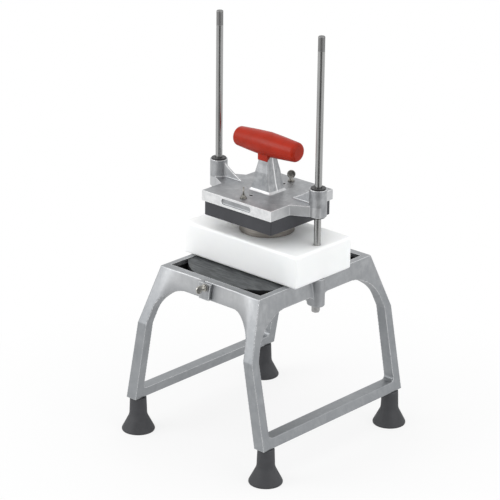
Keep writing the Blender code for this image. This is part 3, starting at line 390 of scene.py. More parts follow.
def prism(outline, low, high, axis="Z"):
    """A flat outline pulled along an axis: (x, y) along Z, (y, z) along X, (x, z) along Y."""
    flat = bpy.data.curves.new("outline", "CURVE")
    flat.dimensions = "2D"
    flat.fill_mode = "BOTH"
    flat.extrude = (high - low) / 2
    line = flat.splines.new("POLY")
    line.points.add(len(outline) - 1)
    for point, (u, v) in zip(line.points, outline):
        point.co = (u, v, 0.0, 1.0)
    line.use_cyclic_u = True
    made = evaluated_bmesh(linked("outline", flat))
    bpy.data.curves.remove(flat)
    bmesh.ops.remove_doubles(made, verts=made.verts, dist=0.000005)
    made.transform(OUTLINE_PLACES[axis] @ Matrix.Translation((0, 0, (high + low) / 2)))
    bmesh.ops.recalc_face_normals(made, faces=made.faces)
    return made


def arc(centre_u, centre_v, radius, start, end, steps):
    """Points on an arc, angles in degrees."""
    points = []
    for step in range(steps + 1):
        angle = math.radians(start + (end - start) * step / steps)
        points.append((centre_u + radius * math.cos(angle), centre_v + radius * math.sin(angle)))
    return points


def rounded_rectangle(half_u, half_v, radius):
    points = []
    for sign_u, sign_v, start in ((1, 1, 0), (-1, 1, 90), (-1, -1, 180), (1, -1, 270)):
        points += arc(sign_u * (half_u - radius), sign_v * (half_v - radius), radius, start, start + 90, 6)
    return points


def cylinder(radius, low, high, x=0.0, y=0.0, sides=48):
    made = bmesh.new()
    bmesh.ops.create_cone(made, cap_ends=True, segments=sides, radius1=radius, radius2=radius,
                          depth=high - low)
    made.transform(Matrix.Translation((x, y, (low + high) / 2)))
    return made


def lathe(profile, sides):
    """A profile of (radius, height) turned round Z. One that starts and ends off the axis is closed."""
    made = bmesh.new()
    verts = [made.verts.new((radius, 0.0, height)) for radius, height in profile]
    edges = [made.edges.new(pair) for pair in zip(verts[:-1], verts[1:])]
    if profile[0][0] > 0.0 and profile[-1][0] > 0.0:
        edges.append(made.edges.new((verts[-1], verts[0])))
    bmesh.ops.spin(made, geom=verts + edges, cent=(0, 0, 0), axis=(0, 0, 1), angle=2 * math.pi, steps=sides)
    bmesh.ops.remove_doubles(made, verts=made.verts, dist=0.000002)
    bmesh.ops.recalc_face_normals(made, faces=made.faces)
    return made


def turned(corners, sides=64):
    """Turns corners of (radius, height), or (radius, height, reach) where one is eased over its reach."""
    points = []
    for index, (radius, height, *reach) in enumerate(corners):
        if not any(reach):
            points.append((radius, height))
            continue
        here = Vector((radius, height))
        before = Vector(corners[index - 1][:2]) - here
        after = Vector(corners[(index + 1) % len(corners)][:2]) - here
        start = here + before.normalized() * min(reach[0], 0.49 * before.length)
        end = here + after.normalized() * min(reach[0], 0.49 * after.length)
        for step in range(7):
            share = step / 6
            point = start * (1 - share) ** 2 + here * (2 * share * (1 - share)) + end * share ** 2
            points.append((point.x, point.y))
    return lathe(points, sides)


def loft(rings):
    """A closed skin through rings of points with equal counts."""
    made = bmesh.new()
    rows = [[made.verts.new(point) for point in ring] for ring in rings]
    for lower, upper in zip(rows[:-1], rows[1:]):
        for index in range(len(lower)):
            following = (index + 1) % len(lower)
            made.faces.new((lower[index], lower[following], upper[following], upper[index]))
    made.faces.new(list(reversed(rows[0])))
    made.faces.new(rows[-1])
    bmesh.ops.recalc_face_normals(made, faces=made.faces)
    return made


def show(node, shape, finish, body="frame", skin_sharp=None):
    """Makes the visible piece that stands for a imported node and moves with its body."""
    slot, material = finish
    name = node + ("_skin" if skin_sharp else "_fine")
    bmesh.ops.recalc_face_normals(shape, faces=shape.faces)
    mesh = mesh_from(name, shape)
    mesh.materials.append(material)
    made = linked(name, mesh)
    mesh.shade_smooth()
    mesh.set_sharp_from_angle(angle=math.radians(skin_sharp or FINE_SHARP))
    if not skin_sharp:
        even = made.modifiers.new("even_normals", "WEIGHTED_NORMAL")
        even.keep_sharp = True
        even.weight = 100
    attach(made, body)
    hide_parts(node)


def show_turned(node, corners, finish, body="frame", place=(0, 0, 0), sides=64):
    """Turns corners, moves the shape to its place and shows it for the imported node."""
    shape = turned(corners, sides)
    shape.transform(Matrix.Translation(place))
    show(node, shape, finish, body)


# Material helpers

class Nodes:
    """A node tree, with short calls for its nodes. Each value may be plain or another node's socket."""

    def __init__(self, tree):
        self.tree = tree

    def feed(self, socket, value):
        if isinstance(value, bpy.types.NodeSocket):
            self.tree.links.new(value, socket)
        elif socket.type == "RGBA":
            socket.default_value = (*value, 1.0)
        else:
            socket.default_value = value

    def add(self, kind, output, inputs=None, **settings):
        """Makes a node, feeds its inputs and gives one of its outputs."""
        node = self.tree.nodes.new("ShaderNode" + kind)
        for name, value in settings.items():
            setattr(node, name, value)
        for name, value in (inputs or {}).items():
            self.feed(node.inputs[name], value)
        return node.outputs[output]

    def spread(self, value, low, high, to_low=0.0, to_high=1.0):
        return self.add("MapRange", "Result", {"Value": value, "From Min": low, "From Max": high,
                                               "To Min": to_low, "To Max": to_high})

    def calculate(self, operation, first, second):
        return self.add("Math", "Value", {0: first, 1: second}, operation=operation)

    def times(self, first, second):
        return self.calculate("MULTIPLY", first, second)

    def vector(self, operation, output, *values):
        return self.add("VectorMath", output, dict(enumerate(values)), operation=operation)


class Shader(Nodes):
    """A material that is drawn in the piece's own coordinates."""

    def __init__(self, name, metallic=0.0):
        self.material = bpy.data.materials.new(name)
        self.material.use_nodes = True
        super().__init__(self.material.node_tree)
        self.principled = self.tree.nodes["Principled BSDF"]
        self.set("Metallic", metallic)
        self.place = self.add("TexCoord", "Object")

    def set(self, name, value):
        self.feed(self.principled.inputs[name], value)

    def finish(self, slot, colour, roughness, normal):
        """Sets what each finish has, and gives the record's slot with the material."""
        self.set("Base Color", colour)
        self.set("Roughness", roughness)
        self.set("Normal", normal)
        return slot, self.material

    def stretch(self, x, y, z):
        """Coordinates scaled along each axis."""
        return self.add("Mapping", "Vector", {"Vector": self.place, "Scale": (x, y, z)})

    def noise(self, scale, detail, rough, place=None, warp=0.0):
        return self.add("TexNoise", "Fac", {"Vector": place or self.place, "Scale": scale, "Detail": detail,
                                            "Roughness": rough, "Distortion": warp})

    def range_of(self, pattern, low=0.0, high=1.0):
        """Spreads what a noise pattern mostly covers over a range."""
        return self.spread(pattern, 0.3, 0.7, low, high)

    def blend(self, share, first, second):
        """A colour between two colours. 6 and 7 are the node's colour inputs, 2 is its colour output."""
        return self.add("Mix", 2, {0: share, 6: first, 7: second}, data_type="RGBA")

    def bump(self, height, strength, distance, normal=None):
        inputs = {"Height": height, "Strength": strength, "Distance": distance}
        if normal is not None:
            inputs["Normal"] = normal
        return self.add("Bump", "Normal", inputs)

    def edges(self, radius):
        """Close to 1 along edges within the radius, and 0 on flat ground."""
        soft = self.add("Bevel", "Normal", {"Radius": radius}, samples=6)
        plain = self.add("NewGeometry", "Normal")
        return self.spread(self.vector("DOT_PRODUCT", "Value", soft, plain), 0.997, 0.92)

    def along(self, axis):
        """Height for Z, or the distance from the middle for X and Y."""
        value = self.add("SeparateXYZ", axis, {0: self.place})
        return value if axis == "Z" else self.calculate("ABSOLUTE", value, 0.0)

    def zone(self, spans):
        """Close to 1 where all the spans hold, and 0 elsewhere."""
        share = 1.0
        for axis, low, high, soft in spans:
            value = self.along(axis)
            if low is not None:
                share = self.calculate("MINIMUM", share, self.spread(value, low - soft, low + soft))
            if high is not None:
                share = self.calculate("MINIMUM", share, self.spread(value, high + soft, high - soft))
        return share


def span(axis, low=None, high=None, soft=0.0003):
    """A stretch of height, or of distance from the middle along X or Y, with the softness of its ends."""
    return axis, low, high, soft


def cast_metal(name, dark, light, mottling, painted_highlight_zones, painted_shade_zone=None, shade_below=None):
    """Tumbled cast aluminium: mottled and faintly streaked, with painted highlights along edges, also
    standing for edge wear, and in given zones, and painted shade low down and in one zone.
    """
    made = Shader(name, 0.85)
    broad = made.noise(14.0, 3.0, 0.6, warp=0.6)
    mottle = made.noise(110.0, 6.0, 0.68)
    patch = made.noise(48.0, 5.0, 0.7, warp=0.8)
    grain = made.noise(850.0, 3.0, 0.6)
    streak = made.noise(150.0, 4.0, 0.6, made.stretch(1.0, 1.0, 0.12))
    tone = made.blend(made.spread(broad, 0.35, 0.65), dark, light)
    for pattern, low, high, share, colour in ((mottle, 0.42, 0.75, mottling, (0.50, 0.508, 0.518)),
                                              (patch, 0.50, 0.72, mottling, (0.52, 0.528, 0.538)),
                                              (streak, 0.52, 0.80, 0.40, (0.22, 0.226, 0.236))):
        tone = made.blend(made.spread(pattern, low, high, 0.0, share), tone, colour)
    # Painted highlights in the given zones, broken up by the mottle
    highlight_breakup = made.spread(mottle, 0.38, 0.66, 1.0, 0.62)
    for share, *spans in painted_highlight_zones:
        level = made.times(made.zone(spans), share)
        tone = made.blend(made.times(level, highlight_breakup), tone, (0.80, 0.805, 0.81))
    shine = 0.9
    # Painted shade: darker, with weaker edge highlights, below a height
    if shade_below is not None:
        low_shade = made.spread(made.along("Z"), shade_below + SHADE_BLEND, shade_below - SHADE_BLEND)
        tone = made.blend(made.times(low_shade, 0.26), tone, (0.15, 0.168, 0.185))
        shine = made.spread(low_shade, 0.0, 1.0, shine, 0.65)
    # Painted highlight along edges, which also stands for edge wear
    tone = made.blend(made.times(made.edges(CAST_SHINE_REACH), shine), tone, (0.94, 0.945, 0.95))
    # Painted shade in one zone
    if painted_shade_zone:
        tone = made.blend(made.zone(painted_shade_zone), tone, (0.02, 0.02, 0.02))
    normal = made.bump(patch, 0.10, 0.0006, made.bump(mottle, 0.16, 0.0003))
    return made.finish("cast_aluminium", tone, made.range_of(mottle, 0.36, 0.52),
                       made.bump(grain, 0.25, 0.00010, normal))


def rod_metal():
    """Ground steel, drawn lengthwise, with a duller turned tip."""
    made = Shader("rod_steel", 1.0)
    ring = made.noise(30.0, 3.0, 0.6, made.stretch(1.0, 1.0, 40.0))
    wear = made.noise(60.0, 5.0, 0.65, made.stretch(3.0, 3.0, 0.35))
    tip = made.spread(made.along("Z"), ROD_STEP_Z - 0.0004, ROD_STEP_Z)
    tone = made.blend(made.spread(wear, 0.35, 0.7), (0.33, 0.332, 0.328), (0.40, 0.402, 0.398))
    roughness = made.calculate("MAXIMUM", made.range_of(wear, 0.17, 0.30), made.times(tip, 0.46))
    return made.finish("rod_steel", made.blend(tip, tone, (0.22, 0.22, 0.218)), roughness,
                       made.bump(ring, 0.02, 0.00008))


def turned_metal(slot, dark, light, roughness, name=None):
    """Turned metal with slight wear and lighter edges."""
    made = Shader(name or slot, 1.0)
    wear = made.noise(220.0, 5.0, 0.65)
    fine = made.noise(1400.0, 3.0, 0.6)
    tone = made.blend(made.spread(wear, 0.35, 0.7), dark, light)
    worn = tuple(min(1.5 * value, 0.85) for value in light)
    return made.finish(slot, made.blend(made.times(made.edges(0.0003), 0.7), tone, worn),
                       made.range_of(wear, roughness - 0.08, roughness + 0.10),
                       made.bump(fine, 0.18, 0.00006))


def cup_metal():
    """Turned ring with fine bands round it."""
    made = Shader("cup_steel", 1.0)
    bands = made.noise(24.0, 4.0, 0.6, made.stretch(1.0, 1.0, 40.0))
    tone = made.blend(made.range_of(bands), (0.20, 0.18, 0.16), (0.36, 0.34, 0.315))
    return made.finish("cup_steel", tone, made.range_of(bands, 0.26, 0.42),
                       made.bump(bands, 0.15, 0.0001))


def moulded(slot, dark, light, roughness, grain_scale, grain_depth, rim=0.0):
    """Moulded plastic or rubber: a slightly uneven colour, a fine grain and, with a rim, worn edges."""
    made = Shader(slot)
    cloud = made.noise(30.0, 5.0, 0.6, warp=0.4)
    grain = made.noise(grain_scale, 4.0, 0.65)
    tone = made.blend(made.range_of(cloud), dark, light)
    if rim:
        worn = tuple(value * 2.2 for value in light)
        tone = made.blend(made.times(made.edges(rim), 0.6), tone, worn)
    return made.finish(slot, tone, made.range_of(grain, roughness - 0.06, roughness + 0.08),
                       made.bump(grain, 0.35, grain_depth))


def board_plastic():
    """White polyethylene, a little translucent, with faint saw marks and a few knife scratches."""
    made = Shader("white_plastic")
    cloud = made.noise(14.0, 4.0, 0.55)
    saw = made.noise(70.0, 5.0, 0.6, made.stretch(0.6, 5.0, 5.0))
    cuts = made.noise(34.0, 2.0, 0.5, made.stretch(1.0, 7.0, 1.0), warp=1.4)
    made.set("Subsurface Weight", 0.6)
    made.set("Subsurface Radius", (1.0, 1.0, 0.95))
    made.set("Subsurface Scale", 0.012)
    tone = made.blend(made.range_of(cloud), (0.88, 0.905, 0.910), (0.93, 0.945, 0.945))
    return made.finish("white_plastic", tone, made.range_of(saw, 0.38, 0.52),
                       made.bump(made.spread(cuts, 0.62, 0.66), 0.06, 0.0001,
                                 made.bump(saw, 0.10, 0.00012)))


def grip_plastic():
    """Dipped red plastic with a slightly rubbed, uneven skin."""
    made = Shader("grip_plastic")
    cloud = made.noise(45.0, 6.0, 0.62, warp=0.6)
    rub = made.noise(160.0, 6.0, 0.7, made.stretch(0.5, 1.6, 1.6))
    made.set("Specular IOR Level", 0.20)
    tone = made.blend(made.spread(cloud, 0.35, 0.68), (0.305, 0.0145, 0.002), (0.39, 0.0185, 0.004))
    return made.finish("grip_plastic", tone, made.range_of(rub, 0.26, 0.46),
                       made.bump(rub, 0.20, 0.00025))


def tray_plastic():
    """Dark moulding whose raised deck is scratched and rubbed to a lighter grey, with painted shade that
    makes the low wells near black, and a painted highlight round the deck's rim.
    """
    made = Shader("tray_plastic")
    deck = made.spread(made.along("Z"), TRAY_HIGH.z - 0.0012, TRAY_HIGH.z - 0.0004)
    scratches = made.noise(90.0, 6.0, 0.7, made.stretch(0.5, 3.0, 1.0), warp=0.5)
    rubbed = made.blend(made.spread(scratches, 0.40, 0.66), (0.022, 0.025, 0.027), (0.110, 0.118, 0.122))
    # Painted shade: the low wells below the deck are near black
    tone = made.blend(deck, (0.006, 0.006, 0.007), rubbed)
    # Painted highlight along the edges round the deck
    tone = made.blend(made.times(made.edges(0.0006), 0.35), tone, (0.20, 0.205, 0.21))
    return made.finish("tray_plastic", tone, made.range_of(scratches, 0.46, 0.66),
                       made.bump(scratches, 0.25, 0.0002))


# How far a zone reaches behind a face, and how far it keeps from the plate's top
FACE_DEPTH = 0.0007
FACE_LIFT = 0.0004

CAST = cast_metal("cast_aluminium", (0.300, 0.310, 0.322), (0.338, 0.348, 0.360), 0.35, (
    # Painted highlight on the front and back faces of the end rails
    (0.30, span("X", *RAIL_HIGHLIGHT_X), span("Y", FRAME_HALF_Y - FACE_DEPTH),
     span("Z", RAIL_HIGHLIGHT_BOTTOM, soft=0.010)),
), shade_below=SHADE_BELOW)

HEAD_CAST = cast_metal("cast_aluminium_ground_and_highlight", (0.285, 0.294, 0.305), (0.330, 0.339, 0.350), 0.70, (
    # Painted highlights, which also stand for a ground finish, on the front and back faces of the plate and
    # on its side faces near the corners
    (0.95, span("Y", PLATE_HALF_Y - FACE_DEPTH)),
    (0.50, span("X", PLATE_HALF_X - FACE_DEPTH, PLATE_HALF_X + 0.0005), span("Y", ARM_KINK_Y)),
    # Painted highlights on the side faces of the arms and on the gussets
    (0.35, span("X", PLATE_HALF_X - FACE_DEPTH), span("Y", 0.5 * ARM_END_Y, ARM_KINK_Y),
     span("Z", high=PLATE_TOP - FACE_LIFT)),
    (0.20, span("Y", high=0.6 * GUSSET_THICKNESS), span("X", GUSSET_REACH, ROD_X - HEAD_BOSS_RADIUS),
     span("Z", PLATE_TOP + 0.0010)),
    # Painted highlights on the ridge of the post and on the band round its foot
    (0.95, span("Y", high=0.0011), span("X", high=0.0205), span("Z", PLATE_TOP + 0.003)),
    (0.65, span("X", high=POST_FOOT_X), span("Y", high=POST_FOOT_Y),
     span("Z", PLATE_TOP + FACE_LIFT, PLATE_TOP + POST_FOOT_BAND)),
), painted_shade_zone=(
    # Painted shade inside the dowel holes
    span("X", high=DOWEL_RADIUS + 2 * GAP),
    span("Y", DOWEL_Y - DOWEL_RADIUS - 2 * GAP, DOWEL_Y + DOWEL_RADIUS + 2 * GAP),
    span("Z", high=PLATE_TOP - FACE_LIFT),
))

ROD = rod_metal()
SCREW = turned_metal("screw_steel", (0.26, 0.26, 0.26), (0.44, 0.44, 0.44), 0.34)
THUMB = turned_metal("thumb_screw_metal", (0.18, 0.175, 0.16), (0.36, 0.35, 0.325), 0.36)
FRAME_THUMB = turned_metal("thumb_screw_metal", (0.30, 0.29, 0.265), (0.52, 0.51, 0.48), 0.34,
                           "frame_thumb_screw_metal")
BLADE = turned_metal("blade_steel", (0.46, 0.46, 0.47), (0.60, 0.60, 0.61), 0.24)
BRASS = turned_metal("insert_brass", (0.50, 0.34, 0.12), (0.62, 0.45, 0.18), 0.34)
DOWEL = turned_metal("screw_steel", (0.05, 0.05, 0.05), (0.12, 0.12, 0.12), 0.40, "dowel_steel")
CUP = cup_metal()
BOARD = board_plastic()
GRIP = grip_plastic()
TRAY = tray_plastic()
RUBBER = moulded("foot_rubber", (0.026, 0.027, 0.030), (0.042, 0.043, 0.048), 0.62, 1100.0, 0.00010)
BLACK = moulded("black_plastic", (0.010, 0.010, 0.011), (0.018, 0.018, 0.020), 0.42, 900.0, 0.00006)
PLUNGER = moulded("plunger_plastic", (0.028, 0.029, 0.034), (0.040, 0.041, 0.048), 0.55, 700.0, 0.00012,
                  0.0006)


# Frame halves

def arch_outline():
    """The tunnel below the end rails, as (x, z)."""
    outline = [(-CUT_PAST, FRAME_BOTTOM - CUT_PAST), (LEG_INNER_X, FRAME_BOTTOM - CUT_PAST)]
    outline += arc(LEG_INNER_X - ARCH_RADIUS, END_RAIL_BOTTOM - ARCH_RADIUS, ARCH_RADIUS, 0, 90, 20)
    outline.append((-CUT_PAST, END_RAIL_BOTTOM))
    return outline


def window_outline():
    """The side window, as (y, z), with the fillets of the rod boss in its top edge."""
    side = LEG_INNER_Y
    floor = FRAME_BOTTOM + STRETCHER_HEIGHT
    corner_z = SIDE_RAIL_BOTTOM - WINDOW_RADIUS
    fillet_y = ROD_BOSS_RADIUS + ROD_BOSS_FILLET - GAP
    fillet_z = SIDE_RAIL_BOTTOM - ROD_BOSS_FILLET
    outline = arc(side - WINDOW_RADIUS, corner_z, WINDOW_RADIUS, 0, 90, 20)
    outline += arc(fillet_y, fillet_z, ROD_BOSS_FILLET, 90, 180, 8)
    outline += arc(-fillet_y, fillet_z, ROD_BOSS_FILLET, 0, 90, 8)
    outline += arc(-side + WINDOW_RADIUS, corner_z, WINDOW_RADIUS, 90, 180, 20)
    for centre_y, start in ((-side + FOOT_CORNER_RADIUS, 180), (side - FOOT_CORNER_RADIUS, 270)):
        outline += arc(centre_y, floor + FOOT_CORNER_RADIUS, FOOT_CORNER_RADIUS, start, start + 90, 6)
    return outline


def ease(value, start, end):
    share = min(max((value - start) / (end - start), 0.0), 1.0)
    return share * share * (3.0 - 2.0 * share)


def splay(shape):
    """Leans the side panels out and sends the legs forward and back down to the knee."""
    for vert in shape.verts:
        drop = max(FRAME_TOP - vert.co.z, 0.0)
        side_share = ease(abs(vert.co.x), SPLAY_START_X, LEG_INNER_X)
        leg_share = side_share * ease(abs(vert.co.y), SPLAY_START_Y, LEG_INNER_Y)
        inward_share = min(max((FRAME_HALF_X - abs(vert.co.x)) / LEG_WIDTH_X, 0.0), 1.0)
        slope = LEG_SPLAY - LEG_TAPER * inward_share
        vert.co.y += math.copysign(KNEE_SLOPE * min(drop, KNEE_DROP) * leg_share, vert.co.y)
        vert.co.x += math.copysign(slope * drop * side_share, vert.co.x)


def splayed_half():
    """One half of the frame as a box frame with its arch and window, cut into bands and splayed."""
    reach = FRAME_HALF_Y + CUT_PAST
    blank = box((-LAP_SPLIT, -FRAME_HALF_Y, FRAME_BOTTOM), (FRAME_HALF_X, FRAME_HALF_Y, FRAME_TOP))
    tunnel = prism(arch_outline(), -reach, reach, "Y")
    window = prism(window_outline(), FRAME_HALF_X - 2 * LEG_WIDTH_X, FRAME_HALF_X + CUT_PAST, "X")
    lap_end = box((-LAP_SPLIT - CUT_PAST, 0.0, END_RAIL_BOTTOM - CUT_PAST),
                  (LAP_SPLIT + GAP, reach, FRAME_TOP + CUT_PAST))
    shape = bevelled(booleans(blank, [tunnel, window, lap_end]), CAST_EDGE, 3, 50)
    planes = []
    for step in range(SPLAY_BANDS + 1):
        along_x = SPLAY_START_X + (LEG_INNER_X - SPLAY_START_X) * step / SPLAY_BANDS
        along_y = SPLAY_START_Y + (LEG_INNER_Y - SPLAY_START_Y) * step / SPLAY_BANDS
        planes.append(((along_x, 0, 0), (1, 0, 0)))
        planes += [((0, sign * along_y, 0), (0, 1, 0)) for sign in (-1, 1)]
    for row in range(KNEE_ROWS):
        planes.append(((0, 0, FRAME_TOP - KNEE_DROP * (row + 1) / KNEE_ROWS), (0, 0, 1)))
    for point, normal in planes:
        everything = shape.verts[:] + shape.edges[:] + shape.faces[:]
        bmesh.ops.bisect_plane(shape, geom=everything, dist=0.00002, plane_co=point, plane_no=normal)
    bmesh.ops.triangulate(shape, faces=[face for face in shape.faces if len(face.verts) > 4])
    splay(shape)
    return shape


def rod_boss():
    """The boss that holds a rod, with a rounded lower edge."""
    outline = arc(ROD_X + ROD_BOSS_OUTWARD, 0.0, ROD_BOSS_RADIUS, -90, 90, 20)
    outline += arc(ROD_X - ROD_BOSS_INWARD, 0.0, ROD_BOSS_RADIUS, 90, 270, 20)
    boss = prism(outline, ROD_BOSS_BOTTOM, FRAME_TOP)
    bmesh.ops.dissolve_limit(boss, angle_limit=0.01, verts=boss.verts, edges=boss.edges)
    low = [edge for edge in boss.edges if all(vert.co.z < ROD_BOSS_BOTTOM + GAP for vert in edge.verts)]
    bmesh.ops.bevel(boss, geom=low, offset=ROD_BOSS_EDGE, segments=4, affect="EDGES", profile=0.5)
    return boss


def lap_ear():
    """The ear in front of the lap, and the thickening that carries it."""
    top = FRAME_TOP - EAR_DROP
    low = END_RAIL_BOTTOM + EAR_DROP
    outline = [(EAR_ROOT, low), (EAR_ROOT, top), (-EAR_TIP_TOP, top), (-EAR_TIP_BOTTOM, low)]
    root = box((LAP_SPLIT + 2 * GAP, FRAME_HALF_Y - END_RAIL_THICKNESS / 3, low + GAP),
               (EAR_ROOT - GAP, EAR_FACE_Y - GAP, top - GAP))
    return [prism(outline, FRAME_HALF_Y + GAP, EAR_FACE_Y, "Y"), root]


def at_lap(sign, face, turn):
    """The place of the front or back lap screw on a face, with +Z turned to point along Y."""
    return (Matrix.Translation((-sign * LAP_SCREW_X, sign * face, LAP_SCREW_Z))
            @ Matrix.Rotation(turn * QUARTER_TURN, 4, "X"))


def frame_half(side, turn):
    skin = cast_skin([splayed_half(), rod_boss()] + lap_ear(), FRAME_VOXEL, 3)
    hole_x = OPENING_HALF_X - TRAY_LEDGE
    hole_y = OPENING_HALF_Y - TRAY_LEDGE
    hole_low = END_RAIL_BOTTOM - ARCH_RADIUS - CUT_PAST / 2
    cuts = [box((-OPENING_HALF_X, -OPENING_HALF_Y, FRAME_TOP - TRAY_SEAT_DEPTH),
                (OPENING_HALF_X, OPENING_HALF_Y, FRAME_TOP + CUT_PAST)),
            box((-hole_x, -hole_y, hole_low), (hole_x, hole_y, FRAME_TOP)),
            cylinder(ROD_BORE, ROD_LOW.z - GAP, FRAME_TOP + CUT_PAST, ROD_X),
            cylinder(HEX_SHANK_RADIUS + GAP, ROD_BOSS_BOTTOM - CUT_PAST, ROD_LOW.z, ROD_X)]
    for sign in (-1, 1):
        cuts.append(cylinder(FOOT_SCREW_RADIUS + GAP, FRAME_BOTTOM - CUT_PAST, FOOT_SCREW_HIGH.z + GAP,
                             FOOT_X, sign * FOOT_Y))
        reach = END_RAIL_THICKNESS + CUT_PAST
        lap_hole = cylinder(THUMB_SHANK_RADIUS + GAP, -reach, reach)
        lap_hole.transform(at_lap(sign, FRAME_HALF_Y, 1))
        cuts.append(lap_hole)
    skin = booleans(skin, cuts, solver="MANIFOLD")
    skin.transform(Matrix.Rotation(turn, 4, "Z"))
    show("frame_half_" + side, skin, CAST, skin_sharp=SKIN_SHARP)


# Rods, screws, feet and washers

def guide_rod(side, sign):
    """A rod with a slightly turned tip above and a socket for its screw below."""
    socket = HEX_SHANK_RADIUS + GAP
    socket_top = HEX_HIGH.z + GAP
    tip_radius = ROD_RADIUS - ROD_TIP_TURNED
    show_turned("guide_rod_" + side, [
        (0.0, ROD_HIGH.z), (tip_radius, ROD_HIGH.z, ROD_TIP_ROUND), (tip_radius, ROD_STEP_Z),
        (ROD_RADIUS, ROD_STEP_Z - ROD_TIP_TURNED), (ROD_RADIUS, ROD_LOW.z), (socket, ROD_LOW.z),
        (socket, socket_top), (0.0, socket_top)], ROD, place=(sign * ROD_X, 0, 0))


def rod_screw(side, sign):
    """A hex screw with a rounded lower edge."""
    corner = HEX_ACROSS_FLATS / 2 / math.cos(math.radians(30))
    rings = []
    for height, scale in HEX_CROWN:
        angles = [math.radians(60 * number) for number in range(6)]
        rings.append([(sign * ROD_X + corner * scale * math.cos(angle), corner * scale * math.sin(angle),
                       HEX_LOW.z + height) for angle in angles])
    head = bevelled(loft(rings), 0.0005, 3, 35)
    shank = cylinder(HEX_SHANK_RADIUS, HEX_LOW.z + HEX_BODY / 2, HEX_HIGH.z, sign * ROD_X)
    show("rod_screw_" + side, booleans(head, [shank], "UNION"), SCREW)


def foot(end, side, place):
    """A rubber foot and the screw inside it."""
    hole = FOOT_SCREW_RADIUS + GAP
    show_turned("foot_%s_%s" % (end, side), [
        (hole, FOOT_HIGH.z), (FOOT_NECK_RADIUS, FOOT_HIGH.z, FOOT_TOP_ROUND),
        (FOOT_NECK_RADIUS + FOOT_NECK_GROWTH, FOOT_NECK_BOTTOM, FOOT_NECK_SWEEP),
        (FOOT_RADIUS, FOOT_RIM_TOP, FOOT_RIM_ROUND), (FOOT_RADIUS, FOOT_LIP, 0.0005),
        (FOOT_SOLE_RADIUS, 0.0), (FOOT_SOCKET_RADIUS, 0.0), (FOOT_SOCKET_RADIUS, FOOT_SOCKET_DEPTH),
        (hole, FOOT_SOCKET_DEPTH)],
                RUBBER, place=place)
    top = FOOT_SCREW_HIGH.z
    low = FOOT_SCREW_LOW.z
    head_top = low + FOOT_SCREW_HEAD_HEIGHT
    show_turned("foot_screw_%s_%s" % (end, side), [
        (0.0, top), (FOOT_SCREW_RADIUS, top, 0.0005), (FOOT_SCREW_RADIUS, head_top),
        (FOOT_SCREW_HEAD_RADIUS, head_top, 0.0006), (FOOT_SCREW_HEAD_RADIUS, low, 0.0006), (0.0, low)],
                SCREW, place=place)


def washer(end, sign):
    bore = THUMB_SHANK_RADIUS + GAP
    shape = turned([(bore, WASHER_THICKNESS), (WASHER_RADIUS, WASHER_THICKNESS, 0.0003),
                    (WASHER_RADIUS, 0.0, 0.0003), (bore, 0.0)])
    shape.transform(at_lap(sign, EAR_FACE_Y + GAP, -sign))
    show("frame_washer_" + end, shape, SCREW)


# Board, tray and blade cup

def board():
    shape = bevelled(box(BOARD_LOW, BOARD_HIGH), BOARD_EDGE, 6)
    cuts = [cylinder(CUP_RADIUS + GAP, BOARD_HIGH.z - CUP_SEAT_DEPTH, BOARD_HIGH.z + CUT_PAST, sides=96),
            cylinder(BOARD_HOLE_RADIUS, BOARD_LOW.z - CUT_PAST, BOARD_HIGH.z, sides=96)]
    for sign in (-1, 1):
        cuts.append(cylinder(ROD_BORE, BOARD_LOW.z - CUT_PAST, BOARD_HIGH.z + CUT_PAST, sign * ROD_X))
    show("cutting_board", booleans(shape, cuts), BOARD)


def deck_outline(shrink):
    """The tray's deck: the frame's opening with its corners cut by a large circle."""
    half_x = OPENING_HALF_X - GAP - shrink
    half_y = OPENING_HALF_Y - GAP - shrink
    radius = OPENING_HALF_Y + TRAY_DECK_MARGIN - shrink
    first = math.degrees(math.acos(half_x / radius))
    last = math.degrees(math.asin(half_y / radius))
    outline = []
    for start, end in ((first, last), (180 - last, 180 - first), (180 + first, 180 + last),
                       (360 - last, 360 - first)):
        outline += arc(0.0, 0.0, radius, start, end, 16)
    return outline


def catch_tray():
    """One moulding: a raised deck with a drop hole, open below, and a low well at each corner."""
    half_x = OPENING_HALF_X - GAP
    half_y = OPENING_HALF_Y - GAP
    floor = TRAY_LOW.z + TRAY_WALL
    outer = rounded_rectangle(half_x, half_y, TRAY_WALL)
    inner = rounded_rectangle(half_x - TRAY_WALL, half_y - TRAY_WALL, 2 * TRAY_WALL)
    rim = prism(outer, TRAY_LOW.z + TRAY_WALL / 3, TRAY_HIGH.z - TRAY_RIM_DROP)
    rim = booleans(rim, [prism(inner, floor, TRAY_HIGH.z + CUT_PAST)])
    shape = booleans(rim, [prism(outer, TRAY_LOW.z, floor),
                           prism(deck_outline(0.0), TRAY_LOW.z + TRAY_WALL / 2, TRAY_HIGH.z)], "UNION")
    below = prism(deck_outline(TRAY_WALL), TRAY_LOW.z - CUT_PAST, TRAY_HIGH.z - TRAY_WALL)
    hole = cylinder(TRAY_HOLE_RADIUS, TRAY_LOW.z - CUT_PAST, TRAY_HIGH.z + CUT_PAST, sides=96)
    shape = booleans(shape, [below, hole])
    show("catch_tray", bevelled(shape, TRAY_EDGE, 2, 50), TRAY)


